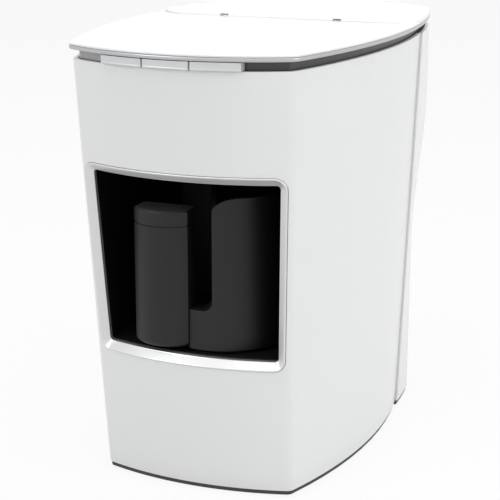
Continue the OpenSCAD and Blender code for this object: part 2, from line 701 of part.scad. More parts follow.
// A tube along points, its rings square to the path
function unit(v) = v / norm(v);
function path_dir(p, i) =
    unit(p[min(i + 1, len(p) - 1)] - p[max(i - 1, 0)]);
module tube(path, r, sides) {
    rings = [for (i = [len(path) - 1:-1:0])
        let (t = path_dir(path, i), u = unit(cross(t, [0.3, 1, 0.2])), v = cross(t, u))
        [for (k = [0:sides - 1]) path[i] + r * (cos(360 * k / sides) * u
            + sin(360 * k / sides) * v)]];
    loft(rings);
}
// Points on a smooth curve through hand-placed ones
function curve(p, n) = [for (i = [0:len(p) - 2], k = [0:n - 1])
    let (t = k / n, a = p[max(i - 1, 0)], b = p[i], c = p[i + 1], e = p[min(i + 2, len(p) - 1)])
    0.5 * (2 * b + (c - a) * t + (2 * a - 5 * b + 4 * c - e) * t * t
        + (3 * b - a - 3 * c + e) * t * t * t)];
hose_r = 3;
dock_low = tray_z - tray_t - 10;
hose_end = 46.05;
inlet_path = concat([[hose_end, pump_y, pump_z]],
    curve([[48, pump_y, pump_z], [51, pump_y, pump_z], [56, 54, 48], [54, 60, 62],
    [40, 60, 78], [dock_x + 4, dock_y, 86], [dock_x, dock_y, dock_low - 5]], 4),
    [[dock_x, dock_y, dock_low - 4], [dock_x, dock_y, dock_low - 0.05]]);
outlet_path = concat([[-hose_end, pump_y, pump_z]],
    curve([[-48, pump_y, pump_z], [-51, pump_y, pump_z], [-56, 44, 46], [-52, 26, 56],
    [-44, 12, 62], [-44, 4, 72], [-44, 4, 120], [-44, 4, 168], [-36, 2, 186],
    [-12, -14, 190], [6, -34, 190], [spout_x, spout_y, ceiling_z + 18]], 4),
    [[spout_x, spout_y, ceiling_z + 16], [spout_x, spout_y, ceiling_z + 12.05]]);
module inlet_hose() color([0.85, 0.86, 0.86]) tube(inlet_path, hose_r, 10);
module outlet_hose() color([0.85, 0.86, 0.86]) tube(outlet_path, hose_r, 10);
module tank_dock() color([0.2, 0.2, 0.22]) translate([dock_x, dock_y, 0]) difference() {
    union() {
        translate([0, 0, dock_low]) cylinder(r = 3, h = 11);
        translate([0, 0, tray_z - tray_t - 3]) cylinder(r = 12, h = 3);
        translate([0, 0, tray_z - tray_t - eps]) cylinder(r = 8.8, h = tray_t + eps);
    }
    translate([0, 0, tray_z - tray_t + 0.8]) cylinder(r = 6.4, h = 10);
    translate([0, 0, dock_low - 1]) cylinder(r = 1.6, h = 30);
}
module dock_seal() color([0.6, 0.15, 0.1])
    translate([dock_x, dock_y, tray_z - tray_t + 0.8]) difference() {
        cylinder(r = 6.4, h = 1.6);
        translate([0, 0, -1]) cylinder(r = 5.2, h = 4);
    }
module power_board() color([0.06, 0.32, 0.14]) {
    translate([-34, chassis_y + chassis_t + 3, 62]) cube([68, 1.6, 40]);
    for (x = [-30, 27], z = [65, 96]) translate([x, chassis_y + chassis_t, z])
        rotate([-90, 0, 0]) cylinder(r = 2, h = 3 + eps);
    translate([-28, chassis_y + chassis_t + 4.6, 66]) cube([20, 12, 18]);
    for (x = [2, 14]) translate([x, chassis_y + chassis_t + 4.6, 74])
        rotate([-90, 0, 0]) cylinder(r = 4.5, h = 10);
    translate([22, chassis_y + chassis_t + 4.6, 68]) cube([8, 8, 14]);
}

// ======== tank, its valve and lid ========
tank_top = shell_top + 0.6;
valve_r = 5;
valve_h = 9;
module tank_ear(x) along_x(x - ear_t / 2, x + ear_t / 2) difference() {
    union() {
        translate([hinge_y, hinge_z]) circle(r = ear_r, $fn = 32);
        polygon([[hinge_y + ear_r, hinge_z], [hinge_y - ear_r, hinge_z],
            [hinge_y - ear_r, tank_top + 2.2], [tank_front, tank_top - 0.3],
            [tank_front, tank_top - 12], [tank_front + 1.4, tank_top - 12],
            [tank_front + 1.4, band_z - 1.2], [hinge_y + ear_r, band_z - 0.6]]);
    }
    translate([hinge_y, hinge_z]) circle(r = pin_r + run_gap, $fn = 32);
}
module water_tank() color([0.75, 0.8, 0.85, 0.5]) {
    difference() {
        union() {
            translate([0, 0, tray_z]) linear_extrude(tank_top - tray_z) tank_plan(0);
            translate([0, 0, shell_top]) linear_extrude(2) intersection() {
                tank_plan(-3);
                translate([-100, 48]) square([200, 100]);
            }
        }
        translate([0, 0, tray_z + tank_wall]) linear_extrude(200) tank_plan(tank_wall);
        translate([dock_x, dock_y, tray_z - 1]) cylinder(r = valve_r + 1.5, h = 10);
    }
    for (s = [-1, 1]) tank_ear(s * ear_x);
}
poppet_r = 2.2;
module tank_valve() color([0.2, 0.2, 0.22]) translate([dock_x, dock_y, tray_z]) difference() {
    union() {
        translate([0, 0, 0.2]) cylinder(r = valve_r + 1.5, h = valve_h);
        translate([0, 0, tank_wall + 0.01]) cylinder(r = valve_r + 3, h = 1.5);
    }
    translate([0, 0, 3]) cylinder(r = valve_r, h = valve_h);
    cylinder(r = poppet_r + run_gap, h = 8);
    for (a = [45:90:315]) rotate([0, 0, a]) translate([3.6, 0, 4]) cube([5, 1.6, 2.4]);
}
poppet_z = 3 + 1.2;
module valve_poppet() color([0.85, 0.85, 0.85]) translate([dock_x, dock_y, tray_z]) {
    translate([0, 0, 0.6]) cylinder(r = poppet_r, h = poppet_z - 0.6 + eps);
    translate([0, 0, poppet_z]) cylinder(r = valve_r - 0.6, h = 1.2);
    translate([0, 0, poppet_z + 1.2 - eps]) cylinder(r = 1.2, h = 2);
}
module valve_spring() color("silver") translate([dock_x, dock_y, tray_z + poppet_z + 1.2]) {
    for (i = [0:3]) translate([0, 0, 0.35 + i * 1.25]) rotate_extrude()
        translate([2.6, 0]) circle(r = 0.35, $fn = 16);
}
module valve_seal() color([0.6, 0.15, 0.1]) translate([dock_x, dock_y, tray_z + 3])
    difference() {
        cylinder(r = valve_r - 0.7, h = 1.2);
        translate([0, 0, -1]) cylinder(r = poppet_r + 0.3, h = 4);
    }
lid_y = split_y + split_gap;
dimple_y = 97;
module ear_slots() for (s = [-1, 1])
    translate([s * ear_x - ear_t / 2 - 0.4, lid_y - 5, band_z - 1])
        cube([ear_t + 0.8, hinge_y + ear_r + 0.4 - lid_y + 5, hinge_z + ear_r + 0.25 - band_z + 1]);
module pin_hole() translate([-50, hinge_y, hinge_z]) rotate([0, 90, 0])
    cylinder(r = pin_r, h = 100, $fn = 32);
module tank_lid() color("white") difference() {
    union() {
        translate([0, 0, panel_z]) linear_extrude(1.7) rear_plan(0.2, lid_y);
        translate([0, 0, panel_z + 1.7 - eps]) linear_extrude(0.6 + eps) rear_plan(0.9, lid_y + 0.5);
        translate([0, 0, panel_z + 2.3 - eps]) linear_extrude(0.6 + eps) rear_plan(2.4, lid_y + 1.4);
    }
    ear_slots();
    pin_hole();
    translate([-4, dimple_y, lid_top - 0.8]) cube([8, 2, 2]);
}
module lid_band() color([0.66, 0.67, 0.69]) difference() {
    translate([0, 0, band_z]) linear_extrude(panel_z - band_z) difference() {
        rear_plan(0, lid_y);
        intersection() {
            lid_plan(6);
            translate([-100, lid_y + 12]) square([200, 200]);
        }
    }
    ear_slots();
}
module hinge_pin() color("silver") translate([-50, hinge_y, hinge_z]) rotate([0, 90, 0])
    cylinder(r = pin_r, h = 100, $fn = 32);

// ======== pot ========
module rear_cut() intersection() {
    rotate([0, 0, slot_turn]) translate([slot_wall - 60, -60, -1]) cube([60, 120, 40]);
    behind(handle_y + handle_d);
}
module pot_body() color([0.13, 0.13, 0.14]) at_pot() difference() {
    translate([0, 0, foot_z0]) cylinder(r = pot_r, h = pot_h - foot_z0);
    cup(0, pot_floor, pot_h + 1);
    translate([0, 0, -1]) cylinder(r = pot_r - base_inset + pot_gap, h = base_disc_t + pot_gap + 1);
    handle_pocket();
    slot_cut();
    rear_cut();
}
module pot_liner() color([0.1, 0.1, 0.11]) at_pot() difference() {
    cup(pot_gap, pot_floor + pot_gap, pot_h - 0.5);
    cup(liner_t + pot_gap, pot_floor + liner_t + pot_gap, pot_h + 1);
    translate([0, 0, -0.5]) slot_cut();
}
module pot_base() color([0.6, 0.6, 0.62]) at_pot() difference() {
    cylinder(r = pot_r - base_inset, h = base_disc_t);
    handle_pocket();
    rear_cut();
}
module pot_handle() color([0.13, 0.13, 0.14]) at_pot() difference() {
    handle_part(handle_seam, handle_d, handle_z0, handle_h, 0);
    for (z = handle_screw_z) translate([handle_x, handle_y + handle_seam - 1, z])
        rotate([-90, 0, 0]) cylinder(r = 1.2, h = 10);
    for (z = handle_screw_z) translate([handle_x, handle_y + handle_seam + handle_web, z])
        rotate([-90, 0, 0]) cylinder(r = 2.7, h = 20);
}
module handle_cover() color([0.15, 0.15, 0.16]) at_pot() difference() {
    handle_part(0, handle_seam - 0.15, handle_z0, handle_h, 0);
    for (z = handle_screw_z) translate([handle_x, handle_y + 3, z]) rotate([-90, 0, 0])
        cylinder(r = 1.2, h = 12);
    difference() {
        handle_part(-2, handle_seam, handle_h - groove_low, handle_h - groove_low + 0.8, -1);
        handle_part(-5, handle_seam, handle_h - groove_low - 1, handle_h, 0.5);
    }
}
module handle_screws() color("silver") at_pot() for (z = handle_screw_z)
    translate([handle_x, handle_y + handle_seam + handle_web, z]) rotate([-90, 0, 0])
        screw(1.2, handle_web + 4.5, 2.5, 1.4);

front_shell();
rear_cover();
base_plate();
rubber_feet();
base_screws();
cover_screws();
window_frame();
chamber_liner();
heating_plate();
plate_seal();
heating_element();
thermostat();
plate_clamp();
clamp_screws();
water_spout();
sensor_column();
sensor_lens();
sensor_board();
chassis();
top_deck();
trim_band();
panel_band();
top_panel();
panel_screws();
key_left();
key_middle();
key_right();
tact_switches();
control_board();
ribbon_cable();
power_board();
pump_coil();
pump_tube();
pump_cradle();
inlet_hose();
outlet_hose();
tank_dock();
dock_seal();
cord_gland();
gland_nut();
water_tank();
tank_valve();
valve_poppet();
valve_spring();
valve_seal();
tank_lid();
lid_band();
hinge_pin();
pot_body();
pot_liner();
pot_base();
pot_handle();
handle_cover();
handle_screws();
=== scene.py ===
"""Looks of an electric Turkish coffee maker, in metres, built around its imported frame.

The file follows the machine as it is put together: housing, window, chamber, inner
frame, water path, lid and keys, water tank, pot, and last the studio.
"""

import math

import bmesh
import bpy
from mathutils import Matrix, Vector


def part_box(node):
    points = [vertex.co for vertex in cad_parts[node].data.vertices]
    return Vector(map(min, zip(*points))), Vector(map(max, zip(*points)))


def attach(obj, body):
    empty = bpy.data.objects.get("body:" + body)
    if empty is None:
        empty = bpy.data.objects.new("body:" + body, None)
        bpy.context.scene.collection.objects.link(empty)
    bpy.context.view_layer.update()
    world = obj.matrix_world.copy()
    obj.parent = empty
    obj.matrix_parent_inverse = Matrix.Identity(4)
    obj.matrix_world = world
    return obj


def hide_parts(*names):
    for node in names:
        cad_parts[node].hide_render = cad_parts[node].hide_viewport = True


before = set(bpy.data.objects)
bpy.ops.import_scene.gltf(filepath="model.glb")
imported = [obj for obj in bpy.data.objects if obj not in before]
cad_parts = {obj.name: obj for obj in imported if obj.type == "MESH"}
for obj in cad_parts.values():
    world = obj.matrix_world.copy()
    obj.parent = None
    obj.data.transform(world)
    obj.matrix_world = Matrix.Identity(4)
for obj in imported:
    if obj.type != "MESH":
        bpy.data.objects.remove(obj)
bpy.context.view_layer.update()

mm = 0.001

# ======== front shell ========
# The white wall round the front and both sides: glossy ABS, moulded in one piece,
# tapering towards the ground and open at the back, where the rear cover closes it.
shell_low, shell_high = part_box("front_shell")
wall = 2.5 * mm
foot_half = 69.35 * mm
top_half = shell_high.x
front_top = shell_low.y
front_lean = 24.5 * mm
front_radius = (168.6 * mm, 118.3 * mm)
side_radius = (285.5 * mm, 350.5 * mm)
corner_radius = (4.7 * mm, 8.4 * mm)
least_radius = 0.5 * mm
shell_edge = 0.45 * mm
front_steps, corner_steps, side_steps, rise_steps = 26, 10, 22, 26


def between(a, b, share):
    """The value at a share of the way from a to b."""
    return a + (b - a) * share


def bearing(start, end):
    """The direction from one place to another, in radians."""
    return math.atan2(end[1] - start[1], end[0] - start[0])


def arc(centre, radius, start, end, steps):
    """Points on an arc; the angles are in radians."""
    turns = [between(start, end, i / steps) for i in range(steps + 1)]
    return [(centre[0] + radius * math.cos(a), centre[1] + radius * math.sin(a)) for a in turns]


def crossing(a, ra, b, rb, side):
    """Where two circles cross; side picks one of the two places."""
    run = math.dist(a, b)
    along = (ra * ra - rb * rb + run * run) / (2 * run)
    off = side * math.sqrt(max(ra * ra - along * along, 0))
    ux, uy = (b[0] - a[0]) / run, (b[1] - a[1]) / run
    return a[0] + ux * along - uy * off, a[1] + uy * along + ux * off


def chain(*runs):
    """Runs of points one after another, each starting where the last one ended."""
    points = list(runs[0])
    for run in runs[1:]:
        points += run[1:]
    return points


def mirrored(half):
    """A half outline that starts on x = 0, with its left side before it."""
    return [(-x, y) for x, y in half[:0:-1]] + half


def bowed_half(half_width, front, front_r, side_r, corner_r, back, inset):
    """From the middle of a bowed front, round the corner and along the side to y = back."""
    front_c = (0, front + front_r)
    side_c = (half_width - side_r, 0)
    r = max(corner_r - inset, least_radius)
    reach = (side_c, side_r - inset - r, front_c, front_r - inset - r)
    corner = min(crossing(*reach, 1), crossing(*reach, -1), key=lambda p: p[1])
    corner_turn = (bearing(front_c, corner), bearing(side_c, corner))
    end = math.asin(back / (side_r - inset))
    return chain(
        arc(front_c, front_r - inset, -math.pi / 2, corner_turn[0], front_steps),
        arc(corner, r, *corner_turn, corner_steps),
        arc(side_c, side_r - inset, corner_turn[1], end, side_steps),
    )


def shell_half(z, inset):
    """Half outline of the shell at a height, from the middle of its front to its open back."""
    t = z / shell_high.z
    return bowed_half(
        between(foot_half, top_half, t),
        between(front_top + front_lean, front_top, t),
        between(*front_radius, t),
        between(*side_radius, t),
        between(*corner_radius, t),
        shell_high.y,
        inset,
    )


def make_piece(name, points, faces, finish):
    """A new object in the scene, with one finish."""
    mesh = bpy.data.meshes.new(name)
    mesh.from_pydata(points, [], faces)
    mesh.materials.append(finish)
    piece = bpy.data.objects.new(name, mesh)
    bpy.context.scene.collection.objects.link(piece)
    return piece


def loft(name, rings, finish, closed=False):
    """A solid through rings of equal length; closed joins the last ring to the first."""
    n = len(rings[0])
    count = len(rings)
    points = [point for ring in rings for point in ring]
    faces = []
    for j in range(count if closed else count - 1):
        a, b = j * n, (j + 1) % count * n
        faces += [(a + i, a + (i + 1) % n, b + (i + 1) % n, b + i) for i in range(n)]
    if not closed:
        faces += [tuple(range(n))[::-1], tuple(range((count - 1) * n, count * n))]
    piece = make_piece(name, points, faces, finish)
    shape = bmesh.new()
    shape.from_mesh(piece.data)
    bmesh.ops.recalc_face_normals(shape, faces=shape.faces)
    shape.to_mesh(piece.data)
    shape.free()
    return piece


def settled(piece, smooth=32):
    """The piece with its modifiers made part of its mesh, shaded smooth up to an angle."""
    graph = bpy.context.evaluated_depsgraph_get()
    mesh = bpy.data.meshes.new_from_object(piece.evaluated_get(graph))
    piece.modifiers.clear()
    piece.data = mesh
    mesh.polygons.foreach_set("use_smooth", [True] * len(mesh.polygons))
    mesh.set_sharp_from_angle(angle=math.radians(smooth))
    return piece


def rounded(piece, radius, segments=3, from_angle=40):
    """Breaks every edge sharper than from_angle, as a moulding tool leaves it."""
    bevel = piece.modifiers.new("edges", "BEVEL")
    bevel.width = radius
    bevel.segments = segments
    bevel.limit_method = "ANGLE"
    bevel.angle_limit = math.radians(from_angle)
    bevel.use_clamp_overlap = False
    return settled(piece)


class Wire:
    """One value in a node tree. Arithmetic on wires adds the tree's Math nodes."""

    def __init__(self, graph, socket):
        self.graph = graph
        self.socket = socket

    def twin(self, output):
        """Another output of the same node."""
        return Wire(self.graph, self.socket.node.outputs[output])

    def __add__(self, other):
        return self.graph.maths("ADD", self, other)

    def __mul__(self, other):
        return self.graph.maths("MULTIPLY", self, other)

    __radd__ = __add__
    __rmul__ = __mul__


class Graph:
    """A node tree of a material or of Geometry Nodes, while it is being put together."""

    def __init__(self, tree):
        self.tree = tree

    def add(self, kind, output=0, settings=None, **inputs):
        """Adds a node: first its settings, then its sockets."""
        node = self.tree.nodes.new(kind)
        for key, value in (settings or {}).items():
            setattr(node, key, value)
        self.feed(node, **inputs)
        return Wire(self, node.outputs[output])

    def feed(self, node, **inputs):
        """Fills a node's sockets, named by identifier; underscores stand for spaces."""
        sockets = {s.identifier: s for s in node.inputs}
        for key, value in inputs.items():
            socket = sockets.get(key) or sockets[key.replace("_", " ")]
            if isinstance(value, Wire):
                self.tree.links.new(value.socket, socket)
            else:
                socket.default_value = value

    def maths(self, operation, a, b):
        return self.add("ShaderNodeMath", settings={"operation": operation}, Value=a, Value_001=b)


class Finish(Graph):
    """A material: one Principled shader, and whatever its surface varies by."""

    def __init__(self, name, colour, roughness, **constants):
        self.material = bpy.data.materials.new(name)
        self.material.use_nodes = True
        super().__init__(self.material.node_tree)
        self.shader = self.tree.nodes["Principled BSDF"]
        self.feed(self.shader, Base_Color=(*colour, 1), Roughness=roughness, **constants)
        self.place = self.add("ShaderNodeTexCoord").twin("Object")

    def set(self, **inputs):
        """Gives the shader's sockets patterns that vary over the surface."""
        self.feed(self.shader, **inputs)

    def noise(self, scale, detail, roughness=0.5, at=None):
        """A noise pattern that stays with the piece; scale is in grains to the metre."""
        return self.add(
            "ShaderNodeTexNoise",
            Vector=at or self.place,
            Scale=scale,
            Detail=detail,
            Roughness=roughness,
        )

    def mixed(self, share, first, second):
        """A colour between two others."""
        return self.add(
            "ShaderNodeMix",
            output=2,
            settings={"data_type": "RGBA"},
            Factor_Float=share,
            A_Color=first if isinstance(first, Wire) else (*first, 1),
            B_Color=second if isinstance(second, Wire) else (*second, 1),
        )

    def bump(self, height, depth):
        """Presses a height pattern into the surface; depth is in metres."""
        self.set(Normal=self.add("ShaderNodeBump", Height=height, Distance=depth, Strength=1.0))


def moulded(name, colour, roughness, grain, depth, shade=0.94, **constants):
    """Moulded plastic: a fine skin texture, faint flow marks and a little uneven gloss."""
    finish = Finish(name, colour, roughness, **constants)
    flow = finish.noise(scale=9.0, detail=3.0)
    skin = finish.noise(scale=grain, detail=2.0)
    darker = tuple(c * shade for c in colour)
    finish.set(
        Base_Color=finish.mixed(flow, darker, colour),
        Roughness=roughness * (0.85 + 0.22 * flow + 0.08 * skin),
    )
    finish.bump(skin, depth)
    return finish.material


white_gloss = moulded(
    "white_gloss", (0.84, 0.845, 0.85), roughness=0.22, grain=420.0, depth=0.006 * mm, shade=0.985
)


def wall_sections(half_at, levels, thickness):
    """Sections across a wall, one for each place on its outline: up outside, down inside."""
    outside = [mirrored(half_at(z, 0)) for z in levels]
    inside = [mirrored(half_at(z, thickness)) for z in levels]
    sections = []
    for place in range(len(outside[0])):
        up = [(*ring[place], z) for ring, z in zip(outside, levels)]
        down = [(*ring[place], z) for ring, z in zip(inside, levels)]
        sections.append(up + down[::-1])
    return sections


heights = [between(shell_low.z, shell_high.z, i / rise_steps) for i in range(rise_steps + 1)]
front_shell = loft("front_shell_skin", wall_sections(shell_half, heights, wall), white_gloss)
rounded(front_shell, shell_edge)

# ======== window frame ========
# A satin silver frame round the brewing window: a bevelled moulding that slopes in
# towards the glassless opening and follows the bow of the front.
window_low = 71.6 * mm
window_high = window_low + 102.7 * mm
window_half = 52.2 * mm
window_flare = 3.8 * mm
window_corner = 6.4 * mm
frame_band = 4.5 * mm
frame_depth = 6 * mm
frame_proud = 0.6 * mm
frame_dip = 3.4 * mm
frame_play = 0.2 * mm
frame_step = 2 * mm
lip = 0.7 * mm
lip_r = 0.35 * mm
lean = math.atan2(window_flare, window_high - window_low)


def window_outline(inset):
    """The window's outline in x and z, counter-clockwise, moved in by an inset."""
    r = max(window_corner - inset, 2 * least_radius)
    low, high = window_low + inset + r, window_high - inset - r

    def side(z):
        return window_half + (z - window_low) * math.tan(lean) - (inset + r) / math.cos(lean)

    half = arc((side(low), low), r, -math.pi / 2, -lean, corner_steps)
    half += arc((side(high), high), r, -lean, math.pi / 2, corner_steps)
    return half + [(-x, z) for x, z in half[::-1]]


def front_y(x, z):
    """Where the shell's front face is, at a place on it."""
    t = z / shell_high.z
    radius = between(*front_radius, t)
    return between(front_top + front_lean, front_top, t) + radius - math.sqrt(radius**2 - x * x)


def carved(piece, *tools, how="DIFFERENCE"):
    """Cuts the tools out of the piece, or joins them to it, and throws the tools away."""
    for tool in tools:
        cut = piece.modifiers.new("cut", "BOOLEAN")
        cut.operation = how
        cut.solver = "EXACT"
        cut.object = tool
        settled(piece)
        bpy.data.objects.remove(tool)
    return piece


def prism(name, outline, low, high, finish, axis="Z"):
    """An outline given its thickness along one axis."""
    place = {
        "X": lambda a, b, c: (c, a, b),
        "Y": lambda a, b, c: (a, c, b),
        "Z": lambda a, b, c: (a, b, c),
    }[axis]
    rings = [[place(a, b, c) for a, b in outline] for c in (low, high)]
    return loft(name, rings, finish)


def fit(piece, body, slot, *replaced):
    """Puts a finished piece on its body, in place of its CAD nodes; the slot it is given is not
    used.
    """
    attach(piece, body)
    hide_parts(*replaced)
    return piece


through_front = (front_top - 20 * mm, -70 * mm)
carved(
    front_shell,
    prism("window_cut", window_outline(-frame_play), *through_front, white_gloss, "Y"),
)
fit(front_shell, "housing", "white_plastic", "front_shell")

satin_silver = moulded(
    "satin_silver",
    (0.7, 0.702, 0.708),
    roughness=0.32,
    grain=1500.0,
    depth=0.004 * mm,
    shade=0.97,
    Metallic=0.75,
)


def filled(ring, counts):
    """The ring with each edge cut into its own count of steps."""
    points = []
    for i, count in enumerate(counts):
        (ax, ay), (bx, by) = ring[i], ring[(i + 1) % len(ring)]
        points += [(between(ax, bx, k / count), between(ay, by, k / count)) for k in range(count)]
    return points


# The section of the moulding, as places (in from the outline, behind the front).
frame_section = (
    [(0, frame_depth), (0, 0.3 * mm), (0, -frame_proud + 0.4 * mm)]
    + arc((lip_r, -frame_proud + lip_r), lip_r, -math.pi, -math.pi / 2, 4)[1:]
    + [(lip, -frame_proud + 0.02 * mm), (lip + 0.25 * mm, -frame_proud + 0.2 * mm)]
    + [(frame_band - 0.5 * mm, frame_dip - 0.15 * mm)]
    + [(frame_band - 0.15 * mm, frame_dip + 0.1 * mm)]
    + [(frame_band, frame_dip + 0.4 * mm), (frame_band, frame_depth)]
)
turns = [window_outline(inset) for inset, depth in frame_section]
outer = turns[0]
steps = [max(1, round(math.dist(a, b) / frame_step)) for a, b in zip(outer, outer[1:] + outer[:1])]
turns = [filled(ring, steps) for ring in turns]
frame_rings = [
    [
        (ring[i][0], front_y(*ring[i]) + depth, ring[i][1])
        for ring, (inset, depth) in zip(turns, frame_section)
    ]
    for i in range(len(turns[0]))
]
window_frame = loft("window_frame_moulding", frame_rings, satin_silver, closed=True)
settled(window_frame, smooth=25)
fit(window_frame, "housing", "silver_plastic", "window_frame")

# ======== rear cover ========
# The back wall with the tank's bulge: white ABS like the shell, a little proud of it at the
# seam, with a row of slots over the pump, screw towers inside and the hole for the lead.
cover_low, cover_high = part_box("rear_cover")
seam_y = 50.5 * mm
cover_front = cover_low.y
cover_step = 1.3 * mm
cover_side_r = 330 * mm
cover_corner_r = 9 * mm
waist_z = 100 * mm
bulge_z = 186 * mm
rear_y = (107 * mm, 129 * mm)
rear_sag = (26 * mm, 31.5 * mm)
rear_corner_x = (foot_half - 5.6 * mm, 66 * mm)
tower_x = 44 * mm
tower_y = 81.3 * mm
tower_z = (30 * mm, 84 * mm)
tower_r = 4.2 * mm
shank_hole_r = 1.7 * mm
head_hole_r = 3.4 * mm
shank_hole_y = 60 * mm
counterbore_y = 89 * mm
far_back = 140 * mm
through_back = (80 * mm, 130 * mm)
gland_z = 24 * mm
gland_hole_r = 6 * mm
vent_half = 24 * mm
vent_r = 1 * mm
vent_first = 51 * mm
vent_step = 4.5 * mm
vent_count = 9
cover_rise_steps, cover_side_steps = 40, 20


def eased(share):
    """The share of a way that starts and ends gently."""
    share = min(max(share, 0), 1)
    return share * share * (3 - 2 * share)


def shell_side(z):
    """Half width of the shell where the rear cover meets it."""
    t = z / shell_high.z
    radius = between(*side_radius, t)
    return between(foot_half, top_half, t) - radius + math.sqrt(radius**2 - seam_y**2)


def cover_half(z, inset):
    """From the middle of the bowed back, round the corner and forward along the side."""
    s = eased((z - waist_z) / (bulge_z - waist_z))
    back, sag = between(*rear_y, s), between(*rear_sag, s)
    seam = (shell_side(z) + cover_step, seam_y)
    turn = (between(*rear_corner_x, s), back - sag)
    side_c = crossing(seam, cover_side_r, turn, cover_side_r, 1)
    back_r = (turn[0] ** 2 + sag**2) / (2 * sag)
    back_c = (0, back - back_r)
    reach = (side_c, cover_side_r - cover_corner_r, back_c, back_r - cover_corner_r)
    corner = max(crossing(*reach, 1), crossing(*reach, -1), key=lambda p: p[1])
    corner_turn = (bearing(back_c, corner), bearing(side_c, corner))
    end = math.asin((cover_front - side_c[1]) / (cover_side_r - inset))
    return chain(
        arc(back_c, back_r - inset, math.pi / 2, corner_turn[0], front_steps),
        arc(corner, cover_corner_r - inset, *corner_turn, corner_steps),
        arc(side_c, cover_side_r - inset, corner_turn[1], end, cover_side_steps),
    )


cover_shares = [i / cover_rise_steps for i in range(cover_rise_steps + 1)]
cover_levels = [between(cover_low.z, cover_high.z, share) for share in cover_shares]
rear_cover = loft("rear_cover_skin", wall_sections(cover_half, cover_levels, wall), white_gloss)
rounded(rear_cover, shell_edge)


class Tree(Graph):
    """A Geometry Nodes tree with named inputs, which ends in real geometry with its material."""

    def __init__(self, name, **kinds):
        tree = bpy.data.node_groups.new(name, "GeometryNodeTree")
        for label, kind in kinds.items():
            tree.interface.new_socket(label, in_out="INPUT", socket_type="NodeSocket" + kind)
        tree.interface.new_socket("Geometry", in_out="OUTPUT", socket_type="NodeSocketGeometry")
        super().__init__(tree)
        self.given = self.add("NodeGroupInput")

    def end(self, shape):
        finish = self.given.twin("Finish")
        real = self.add("GeometryNodeRealizeInstances", Geometry=shape)
        coated = self.add("GeometryNodeSetMaterial", Geometry=real, Material=finish)
        self.tree.links.new(coated.socket, self.tree.nodes.new("NodeGroupOutput").inputs[0])
        return self

    def grown(self, name, spots=((0, 0, 0),), **values):
        """Runs the tree on a set of spots and gives the result as a plain piece."""
        piece = make_piece(name, spots, [], values["Finish"])
        growth = piece.modifiers.new("growth", "NODES")
        growth.node_group = self.tree
        for socket in self.tree.interface.items_tree:
            if socket.name in values:
                growth[socket.identifier] = values[socket.name]
        return settled(piece)


planting = Tree("planting", Spots="Geometry", Part="Object", Turn="Rotation", Finish="Material")
part_info = planting.add("GeometryNodeObjectInfo", Object=planting.given.twin("Part"))
planting.end(
    planting.add(
        "GeometryNodeInstanceOnPoints",
        Points=planting.given.twin("Spots"),
        Instance=part_info.twin("Geometry"),
        Rotation=planting.given.twin("Turn"),
    )
)


def planted(name, part, spots, finish, turn=(0, 0, 0)):
    """One copy of the part at each spot, all in one piece; the part itself goes."""
    piece = planting.grown(name, spots, Part=part, Turn=turn, Finish=finish)
    bpy.data.objects.remove(part)
    return piece


def long_hole(half_length, end_r, middle=0):
    """Outline of a hole along x with round ends."""
    run = half_length - end_r
    outline = arc((run, 0), end_r, -math.pi / 2, math.pi / 2, 8)
    outline += arc((-run, 0), end_r, math.pi / 2, 3 * math.pi / 2, 8)
    return [(x, y + middle) for x, y in outline]


vent = prism("slot", long_hole(vent_half, vent_r), *through_back, white_gloss, "Y")
vents = [(0, 0, vent_first + i * vent_step) for i in range(vent_count)]
tower_spots = [(side * tower_x, z) for side in (-1, 1) for z in tower_z]


def disc(centre, radius, sides=48):
    """A circle's outline, counter-clockwise."""
    return arc(centre, radius, 0, math.tau * (1 - 1 / sides), sides - 1)


def cleaned(piece):
    """Merges points that cuts left a few microns apart, and closes what that opens."""
    shape = bmesh.new()
    shape.from_mesh(piece.data)
    bmesh.ops.remove_doubles(shape, verts=shape.verts, dist=0.004 * mm)
    bmesh.ops.dissolve_degenerate(shape, edges=shape.edges, dist=0.002 * mm)
    loose = [v for v in shape.verts if not v.link_faces]
    bmesh.ops.delete(shape, geom=loose, context="VERTS")
    bmesh.ops.holes_fill(shape, edges=[e for e in shape.edges if e.is_boundary], sides=4)
    shape.to_mesh(piece.data)
    shape.free()
    return piece


def bars(name, radius, low, high):
    """Round bars along Y, one at each screw tower."""
    bar = prism(name, disc((0, 0), radius, 32), low, high, white_gloss, "Y")
    return planted(name, bar, [(x, 0, z) for x, z in tower_spots], white_gloss)


inner_rings = [[(x, y, z) for x, y in mirrored(cover_half(z, wall / 2))] for z in cover_levels]
towers = bars("towers", tower_r, tower_y, far_back)
carved(towers, loft("cover_inside", inner_rings, white_gloss), how="INTERSECT")
lead_hole = prism("lead_hole", disc((0, gland_z), gland_hole_r), *through_back, white_gloss, "Y")
carved(rear_cover, towers, how="UNION")
carved(rear_cover, bars("shank_holes", shank_hole_r, shank_hole_y, far_back))
carved(rear_cover, bars("head_holes", head_hole_r, counterbore_y, far_back))
carved(rear_cover, planted("slots", vent, vents, white_gloss), lead_hole)
fit(cleaned(rear_cover), "housing", "white_plastic", "rear_cover")

# ======== base, feet and housing screws ========
# A dark ABS plate closes the housing from below. Four round rubber feet are pressed into its
# recesses, and cross-head screws hold it, the rear cover and the shell's bosses together.
matt_dark = moulded(
    "matt_dark", (0.035, 0.035, 0.037), roughness=0.55, grain=1800.0, depth=0.02 * mm
)
black_rubber = moulded(
    "black_rubber", (0.018, 0.018, 0.018), roughness=0.7, grain=2600.0, depth=0.02 * mm
)


def coat(finish, *nodes):
    """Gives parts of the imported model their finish."""
    for node in nodes:
        for slot_of_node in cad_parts[node].material_slots:
            slot_of_node.material = finish


